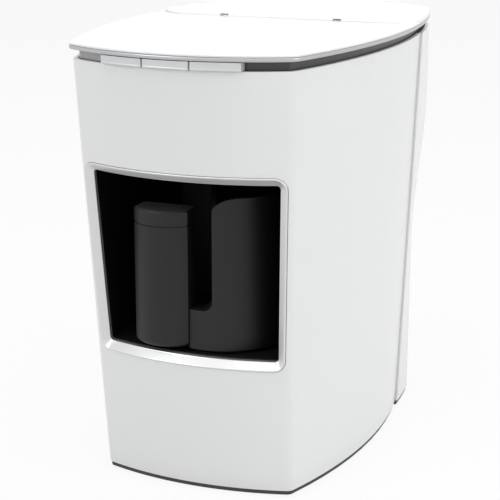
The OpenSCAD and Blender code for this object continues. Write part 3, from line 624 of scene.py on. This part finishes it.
def brushed(name, colour, roughness, stretch=(1, 1, 30)):
    """Bare metal with fine drawn lines."""
    finish = Finish(name, colour, roughness, Metallic=1.0)
    drawn = finish.add("ShaderNodeMapping", Vector=finish.place, Scale=stretch)
    lines = finish.noise(scale=220.0, detail=4.0, roughness=0.6, at=drawn)
    darker = tuple(c * 0.88 for c in colour)
    finish.set(
        Base_Color=finish.mixed(lines, darker, colour),
        Roughness=roughness * (0.75 + 0.5 * lines),
    )
    finish.bump(lines, 0.004 * mm)
    return finish.material


zinc_steel = brushed("zinc_steel", (0.62, 0.62, 0.6), roughness=0.34)


def turned(name, profile, finish, sides=48):
    """A solid of revolution about Z through (radius, z) places."""
    return loft(name, [[(x, y, z) for x, y in disc((0, 0), r, sides)] for r, z in profile], finish)


def oblong(a0, b0, a1, b1):
    """A rectangle's outline between two opposite corners."""
    return [(a0, b0), (a1, b0), (a1, b1), (a0, b1)]


def screw(shank_r, length, head_r, head_h):
    """A cross-head screw along Z: its head above the origin, its thread below."""
    pitch = 1.1 * mm
    profile = [(shank_r * 0.3, -length)]
    for i in range(int(length / pitch) - 1):
        profile += [(shank_r * 0.8, -length + (i + 0.5) * pitch)]
        profile += [(shank_r, -length + (i + 1) * pitch)]
    profile += [(shank_r, 0), (head_r, 0), (head_r, 0.35 * head_h)]
    profile += [(0.9 * head_r, 0.72 * head_h), (0.55 * head_r, head_h)]
    part = turned("screw", profile, zinc_steel, sides=24)
    slot_half = 0.42 * mm
    for a, b in ((0.6 * head_r, slot_half), (slot_half, 0.6 * head_r)):
        carved(part, prism("recess", oblong(-a, -b, a, b), 0.35 * head_h, 2 * head_h, zinc_steel))
    return part


down = (math.pi, 0, 0)
backwards = (-math.pi / 2, 0, 0)
base_head_z = 1.9 * mm
base_spots = [(51.5 * mm, -84 * mm), (44 * mm, 30 * mm), (44 * mm, 76 * mm)]
base_spots = [(side * x, y, base_head_z) for side in (-1, 1) for x, y in base_spots]
flat_screw = screw(shank_r=1.25 * mm, length=13 * mm, head_r=3 * mm, head_h=0.6 * mm)
base_screws = planted("base_plate_screws", flat_screw, base_spots, zinc_steel, down)
fit(base_screws, "housing", "steel", "base_screws")
cover_spots = [(x, counterbore_y, z) for x, z in tower_spots]
pan_screw = screw(shank_r=1.25 * mm, length=14 * mm, head_r=3 * mm, head_h=2 * mm)
cover_screws = planted("rear_cover_screws", pan_screw, cover_spots, zinc_steel, backwards)
fit(cover_screws, "housing", "steel", "cover_screws")

foot_low, foot_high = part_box("rubber_feet")
foot_r = 8 * mm
foot_profile = [(foot_r - 2.6 * mm, 0.35 * mm), (foot_r - 2.2 * mm, 0), (foot_r - 0.7 * mm, 0)]
foot_profile += [(foot_r - 0.15 * mm, 0.3 * mm), (foot_r, 0.8 * mm), (foot_r, foot_high.z)]
foot_spots = [
    (x, y, 0)
    for x in (foot_low.x + foot_r, foot_high.x - foot_r)
    for y in (foot_low.y + foot_r, foot_high.y - foot_r)
]
feet = planted("round_feet", turned("foot", foot_profile, black_rubber), foot_spots, black_rubber)
fit(feet, "housing", "rubber", "rubber_feet")
coat(matt_dark, "base_plate", "gland_nut")
coat(black_rubber, "cord_gland")

# ======== brewing chamber ========
# A satin black liner behind the frame, moulded in one piece, with the ribbed guide of the
# level sensor at its back and the coated hot plate, in its rubber ring, in its floor.
chamber_black = moulded(
    "chamber_black",
    (0.007, 0.007, 0.0073),
    roughness=0.42,
    grain=900.0,
    depth=0.01 * mm,
    Specular_IOR_Level=0.3,
)
guide_grey = moulded(
    "guide_grey", (0.24, 0.24, 0.245), roughness=0.42, grain=1500.0, depth=0.01 * mm
)
spout_grey = moulded(
    "spout_grey", (0.72, 0.72, 0.72), roughness=0.35, grain=1500.0, depth=0.01 * mm
)
coat(chamber_black, "chamber_liner")
coat(black_rubber, "plate_seal")

column_low, column_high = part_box("sensor_column")
column_outline = oblong(column_low.x, column_low.y, column_high.x, column_high.y)
sensor_guide = prism("sensor_guide", column_outline, column_low.z, column_high.z, guide_grey)
rounded(sensor_guide, 0.8 * mm)
rib_clear = 1 * mm
rib_half = 0.5 * mm
rib = oblong(column_low.x - rib_clear, -rib_half, column_high.x + rib_clear, rib_half)
rib_y = (column_low.y - rib_clear, column_low.y + rib_half)
rib_cut = prism("rib_cut", rib, *rib_y, guide_grey, "Y")
rib_spots = [(0, 0, between(column_low.z, column_high.z, share)) for share in (0.25, 0.5, 0.75)]
carved(sensor_guide, planted("rib_cuts", rib_cut, rib_spots, guide_grey))
fit(sensor_guide, "housing", "grey_plastic", "sensor_column")
coat(guide_grey, "chassis")
coat(spout_grey, "water_spout")

lens_glass = Finish("lens_glass", (0.12, 0.02, 0.02), 0.08, Transmission_Weight=0.6, IOR=1.5)
lens_smear = lens_glass.noise(scale=160.0, detail=3.0)
lens_glass.set(Roughness=0.06 + 0.08 * lens_smear)
coat(lens_glass.material, "sensor_lens")

plate_coat = moulded(
    "plate_coat", (0.028, 0.028, 0.029), roughness=0.48, grain=3200.0, depth=0.02 * mm
)
plate_low, plate_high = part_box("heating_plate")
plate_c = (plate_low + plate_high) / 2
plate_r = (plate_high.x - plate_low.x) / 2
top_z = plate_high.z
ring_half = 0.7 * mm
ring_depth = 0.25 * mm
plate_profile = [(plate_r, plate_low.z), (plate_r, top_z - 0.6 * mm)]
plate_profile += [(plate_r - 0.25 * mm, top_z - 0.15 * mm), (plate_r - 0.7 * mm, top_z)]
for ring_r in (27 * mm, 18 * mm, 9 * mm):
    plate_profile += [(ring_r + ring_half, top_z), (ring_r, top_z - ring_depth)]
    plate_profile += [(ring_r - ring_half, top_z)]
plate_profile += [(1 * mm, top_z)]
hot_plate = turned("hot_plate_disc", plate_profile, plate_coat, sides=96)
hot_plate.data.transform(Matrix.Translation((plate_c.x, plate_c.y, 0)))
settled(hot_plate, smooth=25)
fit(hot_plate, "housing", "hot_plate", "heating_plate")

# ======== heater, boards and water path ========
# Under the plate, a sheathed steel element and a thermostat, held up by a pressed clamp.
# Behind the chamber, a vibration pump on rubber, its silicone hoses and two circuit boards.
oxide_steel = brushed("oxide_steel", (0.36, 0.35, 0.34), roughness=0.42, stretch=(30, 30, 1))
coat(oxide_steel, "heating_element")
coat(zinc_steel, "plate_clamp", "clamp_screws")
cream_plastic = moulded(
    "cream_plastic", (0.62, 0.57, 0.45), roughness=0.45, grain=1200.0, depth=0.01 * mm
)
coat(cream_plastic, "thermostat", "pump_tube")
coat(matt_dark, "pump_coil", "tank_dock")
coat(black_rubber, "pump_cradle")
seal_red = moulded("seal_red", (0.3, 0.06, 0.045), roughness=0.5, grain=1800.0, depth=0.01 * mm)
coat(seal_red, "dock_seal")

silicone_hose = Finish("silicone_hose", (0.78, 0.8, 0.79), 0.35, Transmission_Weight=0.35, IOR=1.41)
bloom = silicone_hose.noise(scale=70.0, detail=3.0)
silicone_hose.set(
    Base_Color=silicone_hose.mixed(bloom, (0.7, 0.72, 0.71), (0.82, 0.84, 0.83)),
    Roughness=0.28 + 0.2 * bloom,
)
coat(silicone_hose.material, "inlet_hose", "outlet_hose")

board_green = Finish("board_green", (0.03, 0.17, 0.06), 0.35)
tilted = board_green.add("ShaderNodeMapping", Vector=board_green.place, Rotation=(1.2, 0.4, 0.78))
tracks = board_green.add(
    "ShaderNodeTexBrick",
    settings={"offset": 0.37, "squash": 2.0},
    Vector=tilted,
    Color1=(0.025, 0.16, 0.055, 1),
    Color2=(0.035, 0.2, 0.075, 1),
    Mortar=(0.1, 0.3, 0.1, 1),
    Scale=240.0,
    Mortar_Size=0.035,
)
board_green.set(Base_Color=tracks, Roughness=0.3 + 0.2 * tracks.twin("Fac"))
coat(board_green.material, "sensor_board", "control_board", "power_board")

ribbon_grey = Finish("ribbon_grey", (0.42, 0.42, 0.44), 0.5)
wires = ribbon_grey.add(
    "ShaderNodeTexWave",
    settings={"bands_direction": "X"},
    Vector=ribbon_grey.place,
    Scale=260.0,
    Distortion=0.0,
)
ribbon_grey.set(Base_Color=ribbon_grey.mixed(wires, (0.2, 0.2, 0.21), (0.5, 0.5, 0.52)))
ribbon_grey.bump(wires, 0.15 * mm)
coat(ribbon_grey.material, "ribbon_cable")

# ======== lid: trim, band, panels ========
# A silver painted band runs round the top and carries two glossy white panels: the fixed one
# in front and the tank's lid behind, crowned and a little higher, split by a fine joint.
band_low, band_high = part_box("panel_band")
lid_y = (band_low.y, -band_low.y)
lid_half = band_high.x
lid_side_c = (lid_half - side_radius[1], 0)
rear_lid_r = 82.5 * mm
rear_corner_r = 14.3 * mm
split_at = (58 * mm, 40 * mm)
split_r = 20 * mm
turn_steps, lid_side_steps, lid_corner_steps = 16, 20, 12
joint = 1 * mm
panel_z = band_high.z
band_z = panel_z - 2.3 * mm
fixed_top = panel_z + 1.5 * mm
lid_top = panel_z + 2.9 * mm


def fixed_half(inset):
    """Half outline of the fixed front panel, from the middle of its front to its joint."""
    reach = (lid_side_c, side_radius[1] - inset, split_at, split_r + inset)
    meets = min(crossing(*reach, 1), crossing(*reach, -1), key=lambda p: p[1])
    front = bowed_half(
        lid_half, lid_y[0], front_radius[1], side_radius[1], corner_radius[1], meets[1], inset
    )
    turn = arc(split_at, split_r + inset, bearing(split_at, meets), -math.pi / 2, turn_steps)
    return chain(front, turn, [turn[-1], (0, turn[-1][1])])


def lifting_half(inset):
    """Half outline of the tank's lid, from the middle of its joint to the middle of its back."""
    pivot = (split_at[0], split_at[1] + joint)
    reach = (lid_side_c, side_radius[1] - inset, pivot, split_r - inset)
    meets = min(crossing(*reach, 1), crossing(*reach, -1), key=lambda p: p[1])
    back_c = (0, lid_y[1] - rear_lid_r)
    r = max(rear_corner_r - inset, least_radius)
    reach = (lid_side_c, side_radius[1] - inset - r, back_c, rear_lid_r - inset - r)
    corner = max(crossing(*reach, 1), crossing(*reach, -1), key=lambda p: p[1])
    turn = arc(pivot, split_r - inset, -math.pi / 2, bearing(pivot, meets), turn_steps)
    corner_turn = (bearing(lid_side_c, corner), bearing(back_c, corner))
    side_turn = (bearing(lid_side_c, meets), corner_turn[0])
    return chain(
        [(0, turn[0][1]), turn[0]],
        turn,
        arc(lid_side_c, side_radius[1] - inset, *side_turn, lid_side_steps),
        arc(corner, r, *corner_turn, lid_corner_steps),
        arc(back_c, rear_lid_r - inset, corner_turn[1], math.pi / 2, front_steps),
    )


def stacked(name, half_at, levels, finish):
    """A lid part through (inset, z) levels of one half outline."""
    rings = []
    for inset, z in levels:
        half = half_at(inset)
        rings.append([(x, y, z) for x, y in half + [(-x, y) for x, y in half[-2:0:-1]]])
    return settled(loft(name, rings, finish), smooth=40)


def crowned(low, top, edge, rise, crown, reach):
    """Levels of a panel: a soft lower edge, a rounded shoulder, then a gentle crown."""
    levels = [(0.35 * mm, low), (0.1 * mm, low + 0.08 * mm), (0, low + 0.3 * mm)]
    shoulder = top - crown - rise
    steps = 8
    for i in range(steps + 1):
        a = math.pi / 2 * i / steps
        levels.append((edge * (1 - math.cos(a)), shoulder + rise * math.sin(a)))
    for i in range(1, steps + 1):
        share = i / steps
        levels.append((between(edge, reach, share), top - crown * (1 - share) ** 2))
    return levels


# The rounded outer side of the band, as millimetres (in from its outline, above its foot).
band_levels = [(1.1, 0), (0.45, 0.12), (0.12, 0.4), (0, 0.8)]
band_levels += [(0, 1.5), (0.12, 1.9), (0.4, 2.18), (0.8, 2.3)]
band_levels = [(inset * mm, band_z + rise * mm) for inset, rise in band_levels]
silver_paint = moulded(
    "silver_paint",
    (0.52, 0.525, 0.54),
    roughness=0.3,
    grain=1400.0,
    depth=0.004 * mm,
    shade=0.97,
    Metallic=0.5,
)
front_band = stacked("front_band_moulding", fixed_half, band_levels, silver_paint)
fit(front_band, "housing", "silver_plastic", "panel_band")

fixed_levels = crowned(
    panel_z, fixed_top, edge=0.9 * mm, rise=0.75 * mm, crown=0.25 * mm, reach=11 * mm
)
front_panel = stacked("front_lid_panel", fixed_half, fixed_levels, white_gloss)
fit(front_panel, "housing", "white_plastic", "top_panel")

ear_x = 34 * mm
ear_half = 2.4 * mm
ear_y = (10 * mm, 24.2 * mm)
ear_z = (band_z - 1 * mm, 235.9 * mm)


def ear_slots(name):
    """Room in the lid's front edge for the two ears of the tank."""
    outline = oblong(ear_y[0], ear_z[0], ear_y[1], ear_z[1])
    cut = prism(name, outline, -ear_half, ear_half, white_gloss, "X")
    return planted(name, cut, [(-ear_x, 0, 0), (ear_x, 0, 0)], white_gloss)


lifting_levels = crowned(
    panel_z, lid_top, edge=1.5 * mm, rise=1.4 * mm, crown=0.6 * mm, reach=14 * mm
)
tank_lid = stacked("rear_lid_panel", lifting_half, lifting_levels, white_gloss)
dimple_y = 98 * mm
dimple_z = (lid_top - 0.8 * mm, lid_top + 2 * mm)
dimple = prism("dimple", long_hole(4 * mm, 1 * mm, middle=dimple_y), *dimple_z, white_gloss)
carved(tank_lid, ear_slots("panel_slots"), dimple)
fit(tank_lid, "rear_lid", "white_plastic", "tank_lid")

rear_band = stacked("rear_band_moulding", lifting_half, band_levels, silver_paint)
band_width = 8 * mm
opening_front = 34 * mm
inside = [(x, y) for x, y in lifting_half(band_width) if y > opening_front]
inside = [(inside[0][0], opening_front)] + inside
inside += [(-x, y) for x, y in inside[-2::-1]]
band_opening = prism("band_opening", inside, band_z - 1 * mm, panel_z + 1 * mm, silver_paint)
carved(rear_band, band_opening, ear_slots("band_slots"))
fit(rear_band, "rear_lid", "silver_plastic", "lid_band")
coat(zinc_steel, "hinge_pin", "panel_screws")

# The trim under the band is painted pale to the left of the keys and dark from there on: painted
# light on the left, painted shade and a painted dark reflection on the right, on one material.
trim_grey = Finish("trim_grey", (0.12, 0.12, 0.125), 0.35)
across = trim_grey.add("ShaderNodeSeparateXYZ", Vector=trim_grey.place)
painted_light_until = -38 * mm
painted_lit_side = trim_grey.maths("LESS_THAN", across, painted_light_until)
trim_skin = trim_grey.noise(scale=1300.0, detail=2.0)
# Painted light and shade: pale where the trim is painted lit, dark where it is painted in shade.
trim_grey.set(
    Base_Color=trim_grey.mixed(painted_lit_side, (0.06, 0.06, 0.063), (0.5, 0.5, 0.51)),
    Roughness=0.3 + 0.12 * trim_skin,
)
trim_grey.bump(trim_skin, 0.006 * mm)
coat(trim_grey.material, "trim_band")
coat(matt_dark, "top_deck")

# ======== keys ========
# Three silver keys in a row under the lid's front edge, each with a fine raised rim round a
# flat face. They follow the bow of the front and press straight in against small switches.
key_silver = moulded(
    "key_silver",
    (0.67, 0.675, 0.685),
    roughness=0.36,
    grain=700.0,
    depth=0.002 * mm,
    shade=0.98,
    Metallic=0.3,
)
keys_front = lid_y[0]
rim_w = 0.75 * mm
rim_step = 0.35 * mm
face_dip = 0.14 * mm
key_edge = 0.28 * mm
key_depth = 12 * mm


def spread(low, high, edges):
    """Places across a key: close together near both edges, wider in between."""
    steps = 12
    middle = [between(low + edges[-1], high - edges[-1], i / steps) for i in range(steps + 1)]
    return [low + e for e in edges[:-1]] + middle + [high - e for e in edges[-2::-1]]


def key_piece(name, low, high, back):
    """A cap with a bowed, rimmed front face and a plain block behind it."""
    edges = (0, 0.2 * mm, 0.45 * mm, rim_w, rim_w + rim_step / 2, rim_w + rim_step)
    sections = []
    for x in spread(low.x, high.x, edges):
        front = keys_front + front_radius[1] - math.sqrt(front_radius[1] ** 2 - x * x)
        section = []
        for z in spread(low.z, high.z, edges):
            room = min(x - low.x, high.x - x, z - low.z, high.z - z)
            section.append((x, front + face_dip * eased((room - rim_w) / rim_step), z))
        section += [(x, back, high.z), (x, back, low.z)]
        sections.append(section)
    return rounded(loft(name, sections, key_silver), key_edge)


for side in ("left", "middle", "right"):
    node = "key_" + side
    low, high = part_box(node)
    fit(key_piece(node + "_cap", low, high, keys_front + key_depth), node, "silver_plastic", node)
coat(black_rubber, "tact_switches")

# ======== water tank ========
# A clear smoked tank with a flange at its rim, lifted out with its lid. A sprung valve in its
# floor closes when it leaves the dock.
tank_clear = Finish(
    "tank_clear", (0.78, 0.83, 0.86), 0.08, Transmission_Weight=0.92, IOR=1.49, Coat_Weight=0.2
)
haze = tank_clear.noise(scale=38.0, detail=3.0)
tank_clear.set(
    Base_Color=tank_clear.mixed(haze, (0.74, 0.8, 0.84), (0.82, 0.86, 0.88)),
    Roughness=0.05 + 0.08 * haze,
)
coat(tank_clear.material, "water_tank")
coat(cream_plastic, "valve_poppet")
coat(matt_dark, "tank_valve")
coat(seal_red, "valve_seal")

coil = Tree(
    "coil_spring",
    Spots="Geometry",
    Radius="Float",
    Wire="Float",
    Height="Float",
    Turns="Float",
    Finish="Material",
)
winding = coil.add(
    "GeometryNodeCurveSpiral",
    Resolution=32,
    Rotations=coil.given.twin("Turns"),
    Start_Radius=coil.given.twin("Radius"),
    End_Radius=coil.given.twin("Radius"),
    Height=coil.given.twin("Height"),
)
wire_r = coil.given.twin("Wire")
wire = coil.add("GeometryNodeCurvePrimitiveCircle", Resolution=12, Radius=wire_r)
coil.end(coil.add("GeometryNodeCurveToMesh", Curve=winding, Profile_Curve=wire, Fill_Caps=True))
spring_low, spring_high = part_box("valve_spring")
spring_wire = 0.35 * mm
spring = coil.grown(
    "valve_coil",
    Radius=(spring_high.x - spring_low.x) / 2 - spring_wire,
    Wire=spring_wire,
    Height=spring_high.z - spring_low.z - 2 * spring_wire,
    Turns=4.0,
    Finish=zinc_steel,
)
spring_c = (spring_low + spring_high) / 2
spring.data.transform(Matrix.Translation((spring_c.x, spring_c.y, spring_low.z + spring_wire)))
fit(spring, "valve", "steel", "valve_spring")

# ======== pot ========
# A small pot of dark phenolic: an upright round wall, cut flat beside its bowed grip to make
# room for the fingers, with a low web to the grip and a dark non-stick lining. The grip is a
# core with a screwed cover.
pot_dark = moulded(
    "pot_dark",
    (0.0052, 0.0052, 0.0054),
    roughness=0.5,
    grain=2400.0,
    depth=0.012 * mm,
    Specular_IOR_Level=0.4,
)
cup_coat = moulded(
    "cup_coat", (0.006, 0.006, 0.0062), roughness=0.5, grain=3000.0, depth=0.01 * mm
)
foot_x, foot_y = 6.4 * mm, -70.5 * mm
foot_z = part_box("pot_base")[0].z
pot_r = 34.3 * mm
pot_low = 0.6 * mm
pot_h = 81.8 * mm
pot_wall = 2.4 * mm
slot_turn = math.radians(24)
slot_wall = -8.1 * mm
slot_r = 5 * mm
web_h = 22 * mm
rim_drop = 8 * mm
rim_run = 16 * mm
cup_floor = 4 * mm
cup_corner = 5 * mm
cup_gap = 0.1 * mm
lining = 0.8 * mm
lining_drop = 0.5 * mm
rim_r = 0.5 * mm
rim_lift = 0.15 * mm
recess_inset = 7.4 * mm
recess_depth = 1.3 * mm
far = 60 * mm


def beside_slot(across, along):
    """A place in the frame that is turned with the finger slot, about the middle of the pot."""
    c, s = math.cos(slot_turn), math.sin(slot_turn)
    return foot_x + across * c - along * s, foot_y + across * s + along * c


def pot_ring(z, inset):
    """Outline of the round wall at a height above the foot."""
    return [(x, y, foot_z + z) for x, y in disc((foot_x, foot_y), pot_r - inset, 144)]


def cup_ring(z, inset):
    """Outline of the cup: round, with a flat side beside the slot and two round corners."""
    flat = slot_wall + pot_wall + inset
    r, corner = pot_r - pot_wall - inset, max(cup_corner - inset, 2 * least_radius)
    y = math.sqrt((r - corner) ** 2 - (flat + corner) ** 2)
    end = math.atan2(y, flat + corner)
    outline = chain(
        arc((flat + corner, -y), corner, -math.pi, -end, 10),
        arc((0, 0), r, -end, end, 100),
        arc((flat + corner, y), corner, end, math.pi, 10),
    )
    return [(*beside_slot(*point), foot_z + z) for point in outline]


quarter = [math.pi / 2 * i / 6 for i in range(7)]
pot_levels = [(pot_low, 0.6 * mm), (pot_low + 0.15 * mm, 0.1 * mm), (pot_low + 0.6 * mm, 0)]
pot_levels += [(between(pot_low, pot_h, i / 12), 0) for i in range(1, 12)]
pot_levels += [(pot_h - rim_r + rim_r * math.sin(a), rim_r * (1 - math.cos(a))) for a in quarter]
pot_body = loft("pot_shell", [pot_ring(z, inset) for z, inset in pot_levels], pot_dark)
settled(pot_body, smooth=40)
cup_levels = [(cup_floor, 0), (pot_h - rim_r, 0), (pot_h + 1 * mm, -rim_r - 1 * mm)]
cup_cut = loft("cup_cut", [cup_ring(z, inset) for z, inset in cup_levels], pot_dark)

grip_x, grip_y = foot_x - 22 * mm, foot_y - 41 * mm
grip_half_w = 15 * mm
grip_depth = 18 * mm
grip_front_r = 20 * mm
grip_corner_r = 3 * mm
grip_z = (foot_z + 1.5 * mm, foot_z + 74.8 * mm)
grip_seam = 8 * mm
seam_gap = 0.25 * mm
groove_z = grip_z[1] - 9 * mm
groove_depth = 0.45 * mm
grip_screw_z = (14 * mm, 60 * mm)
grip_screw_y = grip_seam + 3 * mm
bore_r, bore_length = 2.7 * mm, 20 * mm
beyond = 5 * mm
rear_cut_h = 40 * mm


def grip_ring(z, inset):
    """Outline of the grip: a bowed front, straight sides and a flat back with round corners."""
    reach = grip_front_r - inset
    end = math.asin((grip_half_w - inset) / reach) - math.pi / 2
    bow = arc((0, grip_front_r), reach, -math.pi / 2, end, 16)
    corner_c = (grip_half_w - grip_corner_r, grip_depth - grip_corner_r)
    half = bow + arc(corner_c, max(grip_corner_r - inset, 0.3 * mm), 0, math.pi / 2, 8)
    outline = half + [(-x, y) for x, y in half[:0:-1]]
    return [(grip_x + x, grip_y + y, z) for x, y in outline]


under_foot = foot_z - 1 * mm
over_grip = grip_z[1] + beyond
pocket = loft("pocket", [grip_ring(z, -cup_gap) for z in (under_foot, over_grip)], pot_dark)
recess_outline = disc((foot_x, foot_y), pot_r - recess_inset, 64)
recess = prism("base_recess", recess_outline, under_foot, foot_z + recess_depth, pot_dark)


def finger_slot(name, lower):
    """Room for the fingers: down to the web, with the rim rounded down beside it."""
    fillet = arc((slot_wall - slot_r, web_h + slot_r), slot_r, -math.pi / 2, 0, 12)
    quarter_turn = arc((1, -1), 1, math.pi, math.pi / 2, 20)
    fall = [(slot_wall + rim_run * a, pot_h + rim_lift + rim_drop * b) for a, b in quarter_turn]
    side = [(-far, web_h)] + fillet + fall + [(slot_wall + rim_run, 2 * far), (-far, 2 * far)]
    rings = []
    for along in (-far, far):
        rings.append([(*beside_slot(a, along), foot_z + z - lower) for a, z in side])
    return loft(name, rings, pot_dark)


grip_back = grip_y + grip_depth
meets = (grip_back - foot_y - slot_wall * math.sin(slot_turn)) / math.cos(slot_turn)
behind_grip = [beside_slot(slot_wall, meets), beside_slot(slot_wall, far)]
behind_grip += [(-far, foot_y + far), (-far, grip_back)]
rear_cut = prism("rear_cut", behind_grip, under_foot, foot_z + rear_cut_h, pot_dark)
carved(pot_body, cup_cut, recess, pocket, finger_slot("slot", 0), rear_cut)
rounded(pot_body, 0.3 * mm, segments=2, from_angle=50)
fit(cleaned(pot_body), "pot", "dark_plastic", "pot_body")

lining_top = pot_h - lining_drop
lining_levels = [(cup_floor + cup_gap, cup_gap), (lining_top, cup_gap)]
lining_levels += [(lining_top, lining + cup_gap), (cup_floor + lining + cup_gap, lining + cup_gap)]
lining_rings = [cup_ring(z, inset) for z, inset in lining_levels]
pot_lining = settled(loft("pot_lining", lining_rings, cup_coat), smooth=40)
settled(carved(pot_lining, finger_slot("lining_slot", lining_drop)), smooth=40)
fit(pot_lining, "pot", "dark_plastic", "pot_liner")

low_edge, high_edge = 3 * mm, 1.6 * mm
grip_levels = []
for a in quarter:
    grip_levels += [(grip_z[0] + low_edge * (1 - math.cos(a)), low_edge * (1 - math.sin(a)))]
grip_levels += [(groove_z - 0.1 * mm, 0), (groove_z, groove_depth)]
grip_levels += [(groove_z + 0.7 * mm, groove_depth), (groove_z + 0.8 * mm, 0)]
crown, crown_reach = 0.5 * mm, 9 * mm
shoulder = grip_z[1] - crown - high_edge
for a in quarter:
    grip_levels += [(shoulder + high_edge * math.sin(a), high_edge * (1 - math.cos(a)))]
for share in (0.25, 0.5, 0.75, 1):
    grip_levels += [(grip_z[1] - crown * (1 - share) ** 2, between(high_edge, crown_reach, share))]


def grip_slice(name, low, high):
    """The grip between two depths behind its front."""
    whole = loft(name, [grip_ring(z, inset) for z, inset in grip_levels], pot_dark)
    outline = oblong(grip_x - far, grip_y + low, grip_x + far, grip_y + high)
    keep = prism("keep", outline, under_foot, over_grip, pot_dark)
    return settled(carved(whole, keep, how="INTERSECT"), smooth=35)


# Painted light: a paler skin for the grip's upward faces, standing in for light falling from above.
grip_top = moulded(
    "grip_top", (0.045, 0.045, 0.046), roughness=0.5, grain=2400.0, depth=0.012 * mm
)


def with_painted_lit_top(piece):
    """Gives the end face of the grip, above its groove, a paler skin than the sides have: painted
    light from above.
    """
    piece.data.materials.append(grip_top)
    for face in piece.data.polygons:
        if face.normal.z > 0.75 and face.center.z > groove_z + 2 * mm:
            face.material_index = len(piece.data.materials) - 1
    return piece


handle_cover = with_painted_lit_top(grip_slice("handle_cover_shell", -beyond, grip_seam - seam_gap))
fit(handle_cover, "pot", "dark_plastic", "handle_cover")
handle_core = with_painted_lit_top(grip_slice("handle_core", grip_seam, grip_depth + beyond))
grip_screws = [(grip_x, grip_y + grip_screw_y, foot_z + z) for z in grip_screw_z]
bore = prism("bore", disc((0, 0), bore_r, 32), 0, bore_length, pot_dark, "Y")
carved(handle_core, planted("bores", bore, grip_screws, pot_dark))
fit(cleaned(handle_core), "pot", "dark_plastic", "pot_handle")
short_screw = screw(shank_r=1.2 * mm, length=7.5 * mm, head_r=2.5 * mm, head_h=1.4 * mm)
handle_screws = planted("grip_screws", short_screw, grip_screws, zinc_steel, backwards)
fit(handle_screws, "pot", "steel", "handle_screws")
coat(brushed("pot_steel", (0.6, 0.6, 0.6), roughness=0.3, stretch=(1, 1, 1)), "pot_base")

# ======== studio ========
# A pale floor and a pale world that both show white where they are seen or mirrored, a large
# soft lamp above, one from the right and a smaller one from the front left.
camera_spot = Vector((0.30907, -0.77514, 0.33454))
camera_azimuth = math.radians(22.33)
camera_elevation = math.radians(15.41)
camera = bpy.data.objects.new("camera", bpy.data.cameras.new("camera"))
bpy.context.scene.collection.objects.link(camera)
camera.location = camera_spot
camera.rotation_euler = (math.pi / 2 - camera_elevation, 0, camera_azimuth)
camera.data.lens = 108.4
camera.data.sensor_width = 36
bpy.context.scene.camera = camera


def seen_or_mirrored(graph):
    """1 for a ray that shows a thing or its mirror image, 0 for one that only brings light."""
    rays = graph.add("ShaderNodeLightPath")
    seen = graph.maths("MAXIMUM", rays.twin("Is Camera Ray"), rays.twin("Is Glossy Ray"))
    return graph.maths("MAXIMUM", seen, rays.twin("Is Transmission Ray"))


# ---- floor ----
floor_white = 0.9
floor_half = 6
floor_corners = [(x, y, 0) for x, y in oblong(-floor_half, -floor_half, floor_half, floor_half)]
floor_finish = bpy.data.materials.new("studio_floor")
floor_finish.use_nodes = True
floor = make_piece("studio_floor", floor_corners, [(0, 1, 2, 3)], floor_finish)
floor_tree = Graph(floor_finish.node_tree)
glow = floor_tree.add("ShaderNodeEmission", Color=(1, 1, 1, 1), Strength=1.0)
matt = floor_tree.add("ShaderNodeBsdfDiffuse", Color=(0.8, 0.8, 0.8, 1))
shown = seen_or_mirrored(floor_tree) * floor_white
blend = floor_tree.add("ShaderNodeMixShader", Fac=shown, Shader=matt, Shader_001=glow)
floor_tree.feed(floor_tree.tree.nodes["Material Output"], Surface=blend)

# ---- world ----
world = bpy.data.worlds.new("studio")
bpy.context.scene.world = world
world.use_nodes = True
sky = Graph(world.node_tree)
sky_level = 0.42
strength = sky_level + seen_or_mirrored(sky) * (1 - sky_level)
sky.feed(world.node_tree.nodes["Background"], Color=(1, 1, 1, 1), Strength=strength)


def lamp(name, spot, aim, size, watts):
    """A square softbox at a spot, turned towards its aim."""
    light = bpy.data.lights.new(name, "AREA")
    light.energy = watts
    light.size = size
    box = bpy.data.objects.new(name, light)
    bpy.context.scene.collection.objects.link(box)
    box.location = spot
    box.rotation_euler = (Vector(aim) - Vector(spot)).to_track_quat("-Z", "Y").to_euler()
    return box


middle = (0, 0, 0.12)
lamp("top_softbox", (0.1, -0.1, 1.5), middle, size=1.4, watts=14)
lamp("right_softbox", (1.6, -0.25, 0.8), middle, size=0.9, watts=8)
lamp("left_softbox", (-0.9, -1.4, 1.1), middle, size=0.6, watts=7)

bpy.context.scene.view_settings.view_transform = "Standard"
